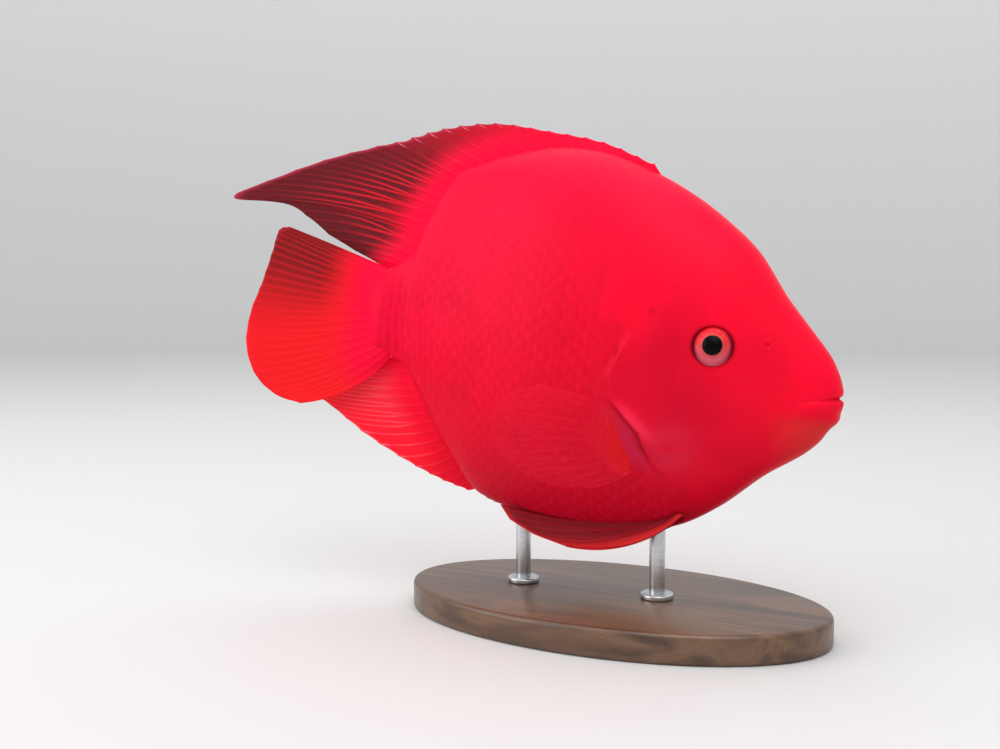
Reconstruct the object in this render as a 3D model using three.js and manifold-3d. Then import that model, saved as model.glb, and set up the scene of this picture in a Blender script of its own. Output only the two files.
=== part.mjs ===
// Blood parrot cichlid, an adult of about 18 cm, as a still life-size model on a plain display stand.
// Millimetres, +Z up. The fish heads towards +X and its tail swings towards -Y, its right side.
// The origin is the centre of the underside of the stand's base.
//
// The fish is measured in its own frame: s runs from the snout tip to the tail, v up and w to its left.
import * as THREE from 'three';
import Module from 'manifold-3d';
import { LoftGeometry } from 'three/addons/geometries/LoftGeometry.js';
import { mergeVertices } from 'three/addons/utils/BufferGeometryUtils.js';

const { clamp, degToRad, lerp, smoothstep } = THREE.MathUtils;

// Pose
const noseDown = degToRad(8.5);
const snoutX = 64;
const fishHeight = 76;
const bendStart = 84;
const bendEnd = 136;
const tailTurn = degToRad(22);
const bendRadius = (bendEnd - bendStart) / tailTurn;

// Fits
const gap = 0.3;
const reachAcross = 40;

// Body. Each station gives the back (s, v), the belly (s, v) and the flank (s, v, half width).
const bodyStations = [
  { back: [-0.1, -0.2], belly: [-0.4, -2.2], flank: [-0.2, -1.2, 0.9] },
  { back: [0.3, 1.9], belly: [-0.4, -4.7], flank: [1.2, -1.4, 3.5] },
  { back: [1.4, 4.8], belly: [-0.4, -7.2], flank: [3.2, -1.4, 5.6] },
  { back: [4.4, 9.4], belly: [1.6, -10.3], flank: [6.4, -1.0, 7.4] },
  { back: [9.8, 14.8], belly: [7.0, -16.8], flank: [11.5, -0.5, 9.3] },
  { back: [18.4, 23.2], belly: [16.4, -24.8], flank: [20.0, 0.5, 12.2] },
  { back: [27.3, 33.4], belly: [26.4, -35.2], flank: [30.0, 1.5, 15.2] },
  { back: [37.2, 40.6], belly: [36.9, -43.1], flank: [39.0, 2.0, 17.9] },
  { back: [48.5, 46.8], belly: [49.0, -47.6], flank: [49.5, 2.0, 20.4] },
  { back: [62.0, 52.0], belly: [62.0, -50.8], flank: [62.0, 1.6, 21.6] },
  { back: [76.0, 55.2], belly: [76.0, -51.7], flank: [76.0, 0.8, 21.4] },
  { back: [90.0, 55.0], belly: [89.0, -50.5], flank: [90.0, 0.2, 19.1] },
  { back: [102.0, 52.0], belly: [100.0, -47.8], flank: [102.0, 0.2, 15.6] },
  { back: [112.0, 48.0], belly: [109.0, -39.6], flank: [112.0, 0.5, 12.0] },
  { back: [120.0, 42.6], belly: [117.0, -29.8], flank: [119.5, 0.8, 9.0] },
  { back: [125.8, 31.5], belly: [123.4, -20.0], flank: [125.5, 1.0, 6.7] },
  { back: [129.6, 20.0], belly: [128.2, -13.6], flank: [130.0, 1.0, 4.8] },
  { back: [136.0, 13.2], belly: [136.0, -11.8], flank: [136.0, 0.8, 3.2] },
];
const bodyRings = 44;
const ringCrowding = 0.8;
const pointsPerRing = 38;
const headRoundness = 0.95;
const trunkRoundness = 1.12;
const headRoundUpTo = 0.35;
const trunkRoundFrom = 0.7;
const tailCutStation = 118;

// Gill covers
const gillEdge = [
  [53.4, 60], [53.6, 30], [51.6, 14], [51.4, 8], [53.9, 3], [56.0, -3.6], [54.8, -9.4], [50.4, -13.6],
  [46.4, -17.2], [44.4, -21.5], [41.6, -26], [37.0, -29], [31.0, -33], [26.0, -45],
];
const cheekEdge = [
  [58, 9.6], [50, 9.8], [44, 7.6], [39.5, 2], [36, -6], [33.4, -15], [31.6, -23], [30.4, -34], [29, -44],
];
const gillSwell = 0.9;
const gillSwellReach = 11;
const gillSwellTop = 8;
const gillSwellBottom = -30;
const gillSwellFade = 5;
const gillPlateDepth = 2.4;
const gillPlateInset = 3;
const gillPlateHind = 70;
const gillPlateSpan = { from: 0.15, to: 0.62 };

// Mouth: the line runs from the notch between the lips to the corner, and the jaw's hind edge to the throat.
const jawLine = [
  [-6, -0.8], [1.4, -1.0], [4.6, -1.3], [7.4, -2.0], [9.6, -4.4], [10.4, -9], [12, -15], [15.5, -24],
  [18, -32],
];
const mouthOpening = 0.9;
const mouthOpeningFrom = 1;
const mouthOpeningTo = 9;
const lipReach = 10.6;
const lipHalfWidth = 7.6;
const lipSweep = degToRad(68);
const lipEndShare = 0.45;
const lipSteps = 9;
const lipSides = 7;
const upperLip = { front: 1.5, height: 0.5, drop: -1.6, radius: 1.5 };
const lowerLip = { front: 0.8, height: -3.0, drop: -2.0, radius: 1.6 };

// Eyes and nostrils
const eye = { s: 31, v: 8.3, radius: 5.3, depth: 4, sunk: 2.15, forward: degToRad(14), up: degToRad(10) };
const nostril = { s: 18.2, v: 10.4, radius: 0.75, depth: 1.3, rim: 0.35 };

// Fins. Roots and edges are (s, v, w) points from the first ray to the last, tips and notches in millimetres.
const membraneHalf = 0.27;
const membraneTaper = 0.8;
const ridgeTaper = 0.75;
const rayFoot = 0.24;
const dorsal = {
  spines: 16,
  softRays: 12,
  rows: 6,
  spineRoots: [[50, 42], [62, 47.5], [74, 50.5], [88, 50.5], [100, 47], [112, 41]],
  softRoots: [[113.5, 39.5], [118.5, 33], [121.5, 26], [124, 19], [126, 12]],
  spineTips: [[60, 53.3], [76, 57.8], [93, 59.3], [110, 60], [126, 56.8], [139.4, 51.2]],
  softTips: [
    [145, 49.4, 0.3], [160, 43.8, 1.2], [176, 36.4, 2.6], [190.6, 28.4, 4.4], [171.5, 28.4, 3.6],
    [156, 20.6, 3], [139, 14.2, 2.6],
  ],
  bow: 3.4,
  bowFullFrom: 0.8,
  bowFadesFrom: 0.86,
  spineNotch: 0.9,
  softNotch: 0.5,
  belly: 0,
  wave: 0.7,
  waves: 5,
  ridge: 0.34,
  sheath: 1.6,
  sheathReach: 0.3,
};
const anal = {
  spines: 8,
  rays: 17,
  rows: 6,
  roots: [[98, -42], [106, -36], [112.5, -28.5], [118, -20], [123, -10.5]],
  tips: [
    [103.5, -48.6], [113, -47], [124, -43.4], [139, -37.4, 0.8], [152, -30.8, 2.2], [166, -25, 4.4],
    [152, -20.4, 4.2], [138.5, -15.2, 3.6],
  ],
  bow: -1.6,
  lastBow: 0.8,
  bowFadesFrom: 0.7,
  spineNotch: 0.7,
  softNotch: 0.35,
  belly: 0,
  wave: 0.5,
  waves: 4,
  ridge: 0.32,
  sheath: 1.4,
  sheathReach: 0.3,
};
const caudal = {
  rays: 16,
  rows: 6,
  roots: [[133.5, 12.4], [134.2, 4], [134.2, -4], [133.6, -11.2]],
  tips: [
    [167.8, 22.2], [170.9, 20.8], [172.3, 14], [174.3, 4.5], [176.8, -5], [177.2, -15], [173.5, -24],
    [166.4, -29.2], [158.5, -30.6],
  ],
  topBow: 0.2,
  bottomBow: -3.2,
  softNotch: 0.25,
  belly: 0,
  wave: 0.5,
  waves: 3,
  ridge: 0.3,
  sheath: 2.3,
  sheathReach: 0.45,
};
const pectoral = {
  rays: 12,
  rows: 5,
  roots: [[49.6, -14.4, 17.6], [49.4, -19, 16.8], [48.4, -23.6, 15.8], [46.8, -27.6, 14.6]],
  tips: [
    [73, -8.6, 26], [81, -12.6, 29], [84.4, -19, 30.4], [82.6, -26, 30.2], [76, -31.6, 28.6],
    [66.5, -34.6, 26], [57, -34, 22.6],
  ],
  topBow: 1.6,
  bottomBow: -1.2,
  softNotch: 0.5,
  belly: 1.4,
  wave: 0.4,
  waves: 3,
  ridge: 0.2,
  sheath: 1.1,
  sheathReach: 0.35,
};
const pelvic = {
  rays: 6,
  rows: 7,
  roots: [[33.6, -38.2, 8.6], [36.2, -40.2, 7.6], [39.6, -42.2, 6.2]],
  tips: [
    [65, -54.8, 9.8], [76, -53.8, 9.4], [84.4, -51.6, 8.8], [88.8, -48.4, 8], [83.6, -49.8, 6.8],
    [76, -51.4, 5.8],
  ],
  topBow: -4,
  bottomBow: -1.6,
  softNotch: 0.7,
  belly: 0.6,
  wave: 0.3,
  waves: 2,
  ridge: 0.26,
  sheath: 1,
  sheathReach: 0.25,
};

// Stand
const baseLength = 124;
const baseWidth = 72;
const baseThickness = 8;
const baseBevel = 1.2;
const rodRadius = 2.2;
const rodStations = [50, 92];
const rodSides = 20;

const wasm = await Module();
wasm.setup();

// A closed three.js geometry as a solid that can be joined and cut.
function solidOf(geometry) {
  const plain = new THREE.BufferGeometry();
  plain.setAttribute('position', geometry.attributes.position);
  plain.setIndex(geometry.index);
  const merged = mergeVertices(plain);
  const source = merged.index.array;
  const faces = [];
  for (let i = 0; i < source.length; i += 3) {
    const [a, b, c] = [source[i], source[i + 1], source[i + 2]];
    if (a !== b && b !== c && c !== a) faces.push(a, b, c);
  }
  return new wasm.Manifold(new wasm.Mesh({
    numProp: 3,
    vertProperties: new Float32Array(merged.attributes.position.array),
    triVerts: new Uint32Array(faces),
  }));
}

function geometryOf(solid) {
  const mesh = solid.getMesh();
  const geometry = new THREE.BufferGeometry();
  geometry.setAttribute('position', new THREE.BufferAttribute(new Float32Array(mesh.vertProperties), 3));
  geometry.setIndex(new THREE.BufferAttribute(new Uint32Array(mesh.triVerts), 1));
  geometry.computeVertexNormals();
  return geometry;
}

function piecesOf(solid) {
  return solid.decompose().sort((a, b) => b.volume() - a.volume());
}

function middleX(solid) {
  const box = solid.boundingBox();
  return (box.min[0] + box.max[0]) / 2;
}

// The fish frame in the model's millimetres. What grows from the body at base leaves it on its tangent there.
function placed(s, w, v, base = s) {
  const turn = clamp((base - bendStart) / bendRadius, 0, tailTurn);
  const reach = s - bendStart - bendRadius * turn;
  const along = bendStart + bendRadius * Math.sin(turn) + reach * Math.cos(turn) + w * Math.sin(turn);
  const left = -bendRadius * (1 - Math.cos(turn)) - reach * Math.sin(turn) + w * Math.cos(turn);
  return new THREE.Vector3(snoutX - along, left, v);
}

function guideLine(points) {
  return new THREE.CatmullRomCurve3(points, false, 'catmullrom', 0.5);
}

const backLine = guideLine(bodyStations.map(({ back }) => new THREE.Vector3(back[0], 0, back[1])));
const bellyLine = guideLine(bodyStations.map(({ belly }) => new THREE.Vector3(belly[0], 0, belly[1])));
const flankLine = guideLine(bodyStations.map(({ flank }) => new THREE.Vector3(flank[0], flank[2], flank[1])));

// The s at which a line of (s, v) points, listed from top to bottom, reaches the height v.
function edgeAt(line, v) {
  for (let i = 1; i < line.length; i += 1) {
    const [s0, v0] = line[i - 1];
    const [s1, v1] = line[i];
    if (v <= v0 && v >= v1) return lerp(s0, s1, (v0 - v) / (v0 - v1));
  }
  return line[line.length - 1][0];
}

// The gill cover stands a little proud towards its hind edge.
function swellAt(s, v) {
  const rise = smoothstep(v, gillSwellBottom - gillSwellFade, gillSwellBottom + gillSwellFade);
  const fade = 1 - smoothstep(v, gillSwellTop - gillSwellFade, gillSwellTop + gillSwellFade);
  const ahead = edgeAt(gillEdge, v) - s;
  return gillSwell * rise * fade * (1 - smoothstep(ahead, 0, gillSwellReach));
}

// One point of the body's surface: t from snout to tail, angle from the back over the left flank.
function bodyPoint(t, angle, swollen) {
  const back = backLine.getPoint(t);
  const belly = bellyLine.getPoint(t);
  const flank = flankLine.getPoint(t);
  const ridge = Math.cos(angle) >= 0 ? back : belly;
  const upright = Math.abs(Math.cos(angle));
  const roundness = lerp(headRoundness, trunkRoundness, smoothstep(t, headRoundUpTo, trunkRoundFrom));
  const s = lerp(flank.x, ridge.x, upright);
  const v = lerp(flank.z, ridge.z, upright);
  const swell = swollen ? swellAt(s, v) : 0;
  const side = Math.sign(Math.sin(angle));
  const w = side * (flank.y * Math.abs(Math.sin(angle)) ** roundness + swell * Math.abs(Math.sin(angle)));
  return placed(s, w, v);
}

// The whole body, with its surface moved outwards by grow.
function bodySolid(grow, { swollen = false, from = 0, to = 1 } = {}) {
  const rings = Math.round(bodyRings * (to - from));
  const sections = [];
  for (let i = 0; i <= rings; i += 1) {
    const t = lerp(from, to, i / rings) ** ringCrowding;
    const section = [];
    for (let j = 0; j < pointsPerRing; j += 1) {
      const angle = (2 * Math.PI * j) / pointsPerRing;
      section.push(bodyPoint(t, angle, swollen));
    }
    sections.push(section);
  }
  const grown = sections.map((section, i) => section.map((point, j) => {
    if (grow === 0) return point.clone();
    const ahead = sections[Math.max(i - 1, 0)][j];
    const behind = sections[Math.min(i + 1, rings)][j];
    const before = section[(j + pointsPerRing - 1) % pointsPerRing];
    const after = section[(j + 1) % pointsPerRing];
    const normal = after.clone().sub(before).cross(behind.clone().sub(ahead)).normalize();
    return point.clone().addScaledVector(normal, grow);
  }));
  if (grow > 0) {
    const tailward = placed(bendEnd + grow, 0, 0).sub(placed(bendEnd, 0, 0));
    grown.push(grown[rings].map((point) => point.clone().add(tailward)));
  }
  return solidOf(new LoftGeometry(grown, { capStart: true, capEnd: true }));
}

// A thin wall that follows a line of (s, v) points and crosses the fish from its right to its left.
function partingWall(line, thicknessAt, fromY = -reachAcross, toY = reachAcross) {
  const points = line.map(([s, v]) => new THREE.Vector2(snoutX - s, v));
  const sides = [[], []];
  points.forEach((point, i) => {
    const next = points[Math.min(i + 1, points.length - 1)];
    const along = next.clone().sub(points[Math.max(i - 1, 0)]).normalize();
    const half = thicknessAt(line[i][0]) / 2;
    sides[0].push(new THREE.Vector2(point.x - along.y * half, point.y + along.x * half));
    sides[1].unshift(new THREE.Vector2(point.x + along.y * half, point.y - along.x * half));
  });
  return prism([...sides[0], ...sides[1]], fromY, toY);
}

// An outline in the side view, carried across the fish between two heights of y.
function prism(outline, fromY, toY) {
  const shape = new THREE.Shape(outline);
  const geometry = new THREE.ExtrudeGeometry(shape, { depth: toY - fromY, bevelEnabled: false });
  geometry.rotateX(Math.PI / 2);
  geometry.translate(0, toY, 0);
  return solidOf(geometry);
}

function evenGap() {
  return gap;
}

// The two parts of a solid ahead of and behind the gill covers' hind edge, or a line shifted from it.
function partedAtGills(solid, shift) {
  const line = gillEdge.map(([s, v]) => [s + shift, v]);
  const [one, other] = piecesOf(solid.subtract(partingWall(line, evenGap)));
  return middleX(one) > middleX(other) ? [one, other] : [other, one];
}

const plainBody = bodySolid(0);
const [frontOfBody] = partedAtGills(bodySolid(0, { swollen: true }), 0);
const [, hindBody] = partedAtGills(plainBody, 0);
const [clearFront] = partedAtGills(bodySolid(gap, { swollen: true }), gap);
const clearBody = bodySolid(gap).add(clearFront);

// A lip: a tube round the front of the mouth, thickest in the middle.
function lipSolid(lip) {
  const sections = [];
  for (let i = 0; i <= lipSteps; i += 1) {
    const sweep = lerp(-lipSweep, lipSweep, i / lipSteps);
    const fullness = Math.cos(sweep);
    const s = lip.front + lipReach * (1 - Math.cos(sweep));
    const centre = placed(s, lipHalfWidth * Math.sin(sweep), lip.height + lip.drop * Math.sin(sweep) ** 2);
    const outwards = new THREE.Vector3(Math.cos(sweep) * lipHalfWidth, Math.sin(sweep) * lipReach, 0);
    outwards.normalize();
    const radius = lip.radius * lerp(lipEndShare, 1, fullness);
    const section = [];
    for (let j = 0; j < lipSides; j += 1) {
      const angle = (-2 * Math.PI * j) / lipSides;
      const point = centre.clone().addScaledVector(outwards, radius * Math.cos(angle));
      point.z += radius * Math.sin(angle);
      section.push(point);
    }
    sections.push(section);
  }
  return solidOf(new LoftGeometry(sections, { capStart: true, capEnd: true }));
}

const bothSides = new THREE.MeshBasicMaterial({ side: THREE.DoubleSide });
const bodySurface = new THREE.Mesh(geometryOf(plainBody), bothSides);

// The point of the flank at (s, v) on one side: 1 is the left and -1 the right.
function flankPoint(s, v, side) {
  const start = new THREE.Vector3(snoutX - s, side * reachAcross, v);
  const caster = new THREE.Raycaster(start, new THREE.Vector3(0, -side, 0));
  return caster.intersectObject(bodySurface)[0].point;
}

// An eyeball, flattened along its own axis and turned to look out, a little forward and up.
function eyeSolid(side, grow) {
  const axis = new THREE.Vector3(Math.sin(eye.forward), side * Math.cos(eye.forward), Math.sin(eye.up));
  axis.normalize();
  const geometry = new THREE.SphereGeometry(1, 16, 10);
  geometry.rotateX(Math.PI / 2);
  geometry.scale(eye.radius + grow, eye.radius + grow, eye.depth + grow);
  geometry.applyQuaternion(new THREE.Quaternion().setFromUnitVectors(new THREE.Vector3(0, 0, 1), axis));
  const centre = flankPoint(eye.s, eye.v, side).addScaledVector(axis, -eye.sunk);
  geometry.translate(centre.x, centre.y, centre.z);
  return solidOf(geometry);
}

function nostrilSolid(side) {
  const geometry = new THREE.CylinderGeometry(nostril.radius, nostril.radius * 0.7, nostril.depth * 2, 8);
  const centre = flankPoint(nostril.s, nostril.v, side);
  geometry.translate(centre.x, centre.y, centre.z);
  return solidOf(geometry);
}

function nostrilRim(side) {
  const geometry = new THREE.TorusGeometry(nostril.radius + nostril.rim, nostril.rim, 5, 10);
  geometry.rotateX(Math.PI / 2);
  const centre = flankPoint(nostril.s, nostril.v, side);
  geometry.translate(centre.x, centre.y, centre.z);
  return solidOf(geometry);
}

// The gap all round a gill plate: in front of it along the cheek and beneath it.
function gillPlateCut(side) {
  const inner = side > 0 ? gillPlateInset : -reachAcross;
  const outer = side > 0 ? reachAcross : -gillPlateInset;
  const deep = bodySolid(-gillPlateDepth - gap, gillPlateSpan);
  const shallow = bodySolid(-gillPlateDepth, gillPlateSpan);
  const cheek = partingWall(cheekEdge, evenGap, inner, outer);
  const [top, bottom] = [cheekEdge[0][1], cheekEdge[cheekEdge.length - 1][1]];
  const corners = [...cheekEdge, [gillPlateHind, bottom], [gillPlateHind, top]];
  const outline = corners.map(([s, v]) => new THREE.Vector2(snoutX - s, v));
  return cheek.add(shallow.intersect(prism(outline, inner, outer))).subtract(deep);
}

function jawGap(s) {
  return lerp(mouthOpening, gap, smoothstep(s, mouthOpeningFrom, mouthOpeningTo));
}

const jawWall = partingWall(jawLine, jawGap);
const wholeHead = frontOfBody.add(lipSolid(upperLip)).add(lipSolid(lowerLip)).subtract(jawWall);
const [cranium, lowerJaw] = piecesOf(wholeHead);
let headWithPlates = cranium;
for (const side of [-1, 1]) {
  headWithPlates = headWithPlates
    .add(nostrilRim(side))
    .subtract(nostrilSolid(side))
    .subtract(eyeSolid(side, gap))
    .subtract(gillPlateCut(side));
}
const [head, ...gillPlates] = piecesOf(headWithPlates).slice(0, 3);
const gillPlateRight = gillPlates.find((plate) => plate.boundingBox().min[1] < 0);
const gillPlateLeft = gillPlates.find((plate) => plate.boundingBox().max[1] > 0);

// The peduncle is parted from the trunk by a cut square to the bent axis.
const tailCutGeometry = new THREE.BoxGeometry(gap, 2 * reachAcross, 200);
tailCutGeometry.rotateZ((tailCutStation - bendStart) / bendRadius);
const tailCutCentre = placed(tailCutStation, 0, 0);
tailCutGeometry.translate(tailCutCentre.x, tailCutCentre.y, tailCutCentre.z);
const [torso, tail] = piecesOf(hindBody.subtract(solidOf(tailCutGeometry)));

// A fin is a thin sheet between a root line and an edge line. Each ray is a ridge in both of its faces,
// each face is split into triangles the same way, and the edge steps back between the rays.
function finSolid(fin) {
  const last = fin.rays - 1;
  const columns = [];
  for (let i = 0; i <= last; i += 1) {
    if (i > 0) columns.push({ at: i - rayFoot, ridge: 0 });
    columns.push({ at: i, ridge: 1 });
    if (i < last) columns.push({ at: i + rayFoot, ridge: 0 });
  }
  const middle = columns.map(({ at, ridge }) => {
    const across = at / last;
    const root = fin.root(across);
    const edge = fin.edge(across);
    const column = [];
    for (let k = 0; k <= fin.rows; k += 1) {
      const row = k / fin.rows;
      const length = Math.hypot(edge.s - root.s, edge.v - root.v);
      const reach = row * (1 - (ridge ? 0 : fin.notch(across) / length) * row);
      const bow = fin.bow(across) * 4 * reach * (1 - reach);
      const s = lerp(root.s, edge.s, reach) + (bow * (root.v - edge.v)) / length;
      const v = lerp(root.v, edge.v, reach) + (bow * (edge.s - root.s)) / length;
      const wave = fin.wave * Math.sin(fin.waves * Math.PI * across) * reach * reach;
      const w = lerp(root.w, edge.w, reach) + fin.belly * 4 * reach * (1 - reach) + wave;
      column.push(placed(s, fin.side * w, v, fin.leaves ? fin.leaves(across) : s));
    }
    return column;
  });
  const count = columns.length;
  const vertices = [];
  for (const face of [1, -1]) {
    middle.forEach((column, i) => column.forEach((point, k) => {
      const right = middle[Math.min(i + 1, count - 1)][k];
      const left = middle[Math.max(i - 1, 0)][k];
      const tip = column[Math.min(k + 1, fin.rows)];
      const root = column[Math.max(k - 1, 0)];
      const normal = right.clone().sub(left).cross(tip.clone().sub(root)).normalize();
      const row = k / fin.rows;
      const ridgeHalf = columns[i].ridge * fin.ridge * (1 - ridgeTaper * row);
      const sheath = fin.sheath * Math.max(0, 1 - row / fin.sheathReach) ** 2;
      const half = membraneHalf * lerp(1, membraneTaper, row) + ridgeHalf + sheath;
      vertices.push(...point.clone().addScaledVector(normal, face * half).toArray());
    }));
  }
  const height = fin.rows + 1;
  const back = count * height;
  const faces = [];
  const quad = (a, b, c, d) => faces.push(a, b, c, a, c, d);
  for (let i = 0; i < count - 1; i += 1) {
    for (let k = 0; k < fin.rows; k += 1) {
      const a = i * height + k;
      const b = a + height;
      quad(a, b, b + 1, a + 1);
      quad(back + b + 1, back + b, back + a, back + a + 1);
    }
    const root = i * height;
    const tip = root + fin.rows;
    quad(root, back + root, back + root + height, root + height);
    quad(tip + height, back + tip + height, back + tip, tip);
  }
  for (let k = 0; k < fin.rows; k += 1) {
    const end = (count - 1) * height + k;
    quad(k, k + 1, back + k + 1, back + k);
    quad(end + 1, end, back + end, back + end + 1);
  }
  const geometry = new THREE.BufferGeometry();
  geometry.setAttribute('position', new THREE.Float32BufferAttribute(vertices, 3));
  geometry.setIndex(faces);
  if (signedVolume(vertices, faces) < 0) geometry.setIndex(faces.slice().reverse());
  return piecesOf(solidOf(geometry).subtract(clearBody))[0];
}

function signedVolume(vertices, faces) {
  const corner = (i) => new THREE.Vector3().fromArray(vertices, 3 * i);
  let sum = 0;
  for (let i = 0; i < faces.length; i += 3) {
    sum += corner(faces[i]).dot(corner(faces[i + 1]).cross(corner(faces[i + 2])));
  }
  return sum;
}

// A line through (s, v, w) points, read by the share of its points passed.
function finLine(points) {
  const curve = guideLine(points.map(([s, v, w = 0]) => new THREE.Vector3(s, w, v)));
  return (share) => {
    const point = curve.getPoint(clamp(share, 0, 1));
    return { s: point.x, v: point.z, w: point.y };
  };
}

const dorsalRays = dorsal.spines + dorsal.softRays;
const lastSpine = (dorsal.spines - 1) / (dorsalRays - 1);
const firstSoftRay = dorsal.spines / (dorsalRays - 1);

// Spines take the first share of the rays, soft rays the rest.
function dorsalLine(spinePoints, softPoints) {
  const spines = finLine(spinePoints);
  const soft = finLine(softPoints);
  return (share) => {
    if (share <= lastSpine) return spines(share / lastSpine);
    if (share >= firstSoftRay) return soft((share - firstSoftRay) / (1 - firstSoftRay));
    const from = spines(1);
    const to = soft(0);
    const blend = (share - lastSpine) / (firstSoftRay - lastSpine);
    return { s: lerp(from.s, to.s, blend), v: lerp(from.v, to.v, blend), w: lerp(from.w, to.w, blend) };
  };
}

const dorsalRoot = dorsalLine(dorsal.spineRoots, dorsal.softRoots);
const dorsalFin = finSolid({
  ...dorsal,
  side: 1,
  rays: dorsalRays,
  root: dorsalRoot,
  edge: dorsalLine(dorsal.spineTips, dorsal.softTips),
  leaves: (across) => dorsalRoot(across).s,
  bow: (across) => dorsal.bow * smoothstep(across, lastSpine, dorsal.bowFullFrom)
    * (1 - smoothstep(across, dorsal.bowFadesFrom, 1)),
  notch: (across) => (across < lastSpine ? dorsal.spineNotch : dorsal.softNotch),
});

const analRoot = finLine(anal.roots);
const lastAnalSpine = anal.spines / (anal.rays - 1);
const analFin = finSolid({
  ...anal,
  side: 1,
  root: analRoot,
  edge: finLine(anal.tips),
  leaves: (across) => analRoot(across).s,
  bow: (across) => lerp(anal.bow, anal.lastBow, smoothstep(across, anal.bowFadesFrom, 1)),
  notch: (across) => (across < lastAnalSpine ? anal.spineNotch : anal.softNotch),
});

const caudalFin = finSolid({
  ...caudal,
  side: 1,
  root: finLine(caudal.roots),
  edge: finLine(caudal.tips),
  leaves: () => bendEnd,
  bow: (across) => lerp(caudal.topBow, caudal.bottomBow, across * across),
  notch: () => caudal.softNotch,
});

// A fin of a pair: 1 is the left side and -1 the right.
function pairedFin(fin, side) {
  return finSolid({
    ...fin,
    side,
    root: finLine(fin.roots),
    edge: finLine(fin.tips),
    bow: (across) => lerp(fin.topBow, fin.bottomBow, across),
    notch: () => fin.softNotch,
  });
}

// Stand
const fishPose = new THREE.Matrix4().makeRotationY(noseDown).setPosition(0, 0, fishHeight);

function rodSolid(station) {
  const foot = placed(station, 0, 0).applyMatrix4(fishPose);
  const bottom = baseThickness + gap;
  const top = fishHeight;
  const geometry = new THREE.CylinderGeometry(rodRadius, rodRadius, top - bottom, rodSides);
  geometry.rotateX(Math.PI / 2);
  geometry.translate(foot.x, foot.y, (top + bottom) / 2);
  const posed = clearBody.transform(fishPose.toArray());
  return solidOf(geometry).subtract(posed);
}

function lowestPiece(solid) {
  return solid.decompose().sort((a, b) => a.boundingBox().min[2] - b.boundingBox().min[2])[0];
}

function baseGeometry() {
  const outline = new THREE.Shape();
  outline.absellipse(0, 0, baseLength / 2 - baseBevel, baseWidth / 2 - baseBevel, 0, 2 * Math.PI);
  const geometry = new THREE.ExtrudeGeometry(outline, {
    depth: baseThickness - 2 * baseBevel,
    bevelThickness: baseBevel,
    bevelSize: baseBevel,
    bevelSegments: 2,
    curveSegments: 22,
  });
  geometry.translate(0, 0, baseBevel);
  return geometryOf(solidOf(geometry));
}

// Finishes
const skinRed = { color: 0xf0162f, roughness: 0.42, metalness: 0 };
const jawRed = { color: 0xd9302f, roughness: 0.42, metalness: 0 };
const finRed = { color: 0xc4202a, roughness: 0.5, metalness: 0 };
const irisRed = { color: 0xd84a52, roughness: 0.12, metalness: 0 };
const walnut = { color: 0x3a2418, roughness: 0.4, metalness: 0 };
const steel = { color: 0xb8bcc0, roughness: 0.3, metalness: 1 };

function named(name, geometry, finish) {
  const mesh = new THREE.Mesh(geometry, new THREE.MeshStandardMaterial(finish));
  mesh.name = name;
  return mesh;
}

const fish = new THREE.Group();
fish.rotation.y = noseDown;
fish.position.z = fishHeight;
fish.add(named('head', geometryOf(head), skinRed));
fish.add(named('lower_jaw', geometryOf(lowerJaw), jawRed));
fish.add(named('gill_cover_right', geometryOf(gillPlateRight), skinRed));
fish.add(named('gill_cover_left', geometryOf(gillPlateLeft), skinRed));
fish.add(named('torso', geometryOf(torso), skinRed));
fish.add(named('tail', geometryOf(tail), skinRed));
fish.add(named('eye_right', geometryOf(eyeSolid(-1, 0)), irisRed));
fish.add(named('eye_left', geometryOf(eyeSolid(1, 0)), irisRed));
fish.add(named('dorsal_fin', geometryOf(dorsalFin), finRed));
fish.add(named('anal_fin', geometryOf(analFin), finRed));
fish.add(named('caudal_fin', geometryOf(caudalFin), finRed));
fish.add(named('pectoral_fin_right', geometryOf(pairedFin(pectoral, -1)), finRed));
fish.add(named('pectoral_fin_left', geometryOf(pairedFin(pectoral, 1)), finRed));
fish.add(named('pelvic_fin_right', geometryOf(pairedFin(pelvic, -1)), finRed));
fish.add(named('pelvic_fin_left', geometryOf(pairedFin(pelvic, 1)), finRed));

const group = new THREE.Group();
group.add(fish);
group.add(named('stand_base', baseGeometry(), walnut));
group.add(named('stand_rod_front', geometryOf(lowestPiece(rodSolid(rodStations[0]))), steel));
group.add(named('stand_rod_rear', geometryOf(lowestPiece(rodSolid(rodStations[1]))), steel));

export default group;
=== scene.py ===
# Blood parrot cichlid, an adult of about 18 cm, shown as a still life-size model on an oval walnut base.
# The fish is worked out in millimetres in its own frame: s from the snout to the tail, v up, w to its left.
import math

import bpy
import numpy as np
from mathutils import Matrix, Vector


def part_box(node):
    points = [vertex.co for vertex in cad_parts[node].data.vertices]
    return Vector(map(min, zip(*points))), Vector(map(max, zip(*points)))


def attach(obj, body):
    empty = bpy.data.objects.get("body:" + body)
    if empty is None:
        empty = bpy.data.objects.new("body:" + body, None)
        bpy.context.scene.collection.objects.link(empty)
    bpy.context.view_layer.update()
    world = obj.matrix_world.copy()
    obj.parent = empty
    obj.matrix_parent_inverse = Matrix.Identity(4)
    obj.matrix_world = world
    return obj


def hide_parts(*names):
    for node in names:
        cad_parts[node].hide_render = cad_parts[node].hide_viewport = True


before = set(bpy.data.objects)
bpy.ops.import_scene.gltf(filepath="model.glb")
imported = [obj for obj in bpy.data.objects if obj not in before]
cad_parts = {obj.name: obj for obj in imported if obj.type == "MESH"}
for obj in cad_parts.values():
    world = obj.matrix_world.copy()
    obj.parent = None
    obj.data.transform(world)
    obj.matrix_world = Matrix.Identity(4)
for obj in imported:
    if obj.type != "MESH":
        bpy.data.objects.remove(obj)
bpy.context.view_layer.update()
mm = 0.001

# Helpers

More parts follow.
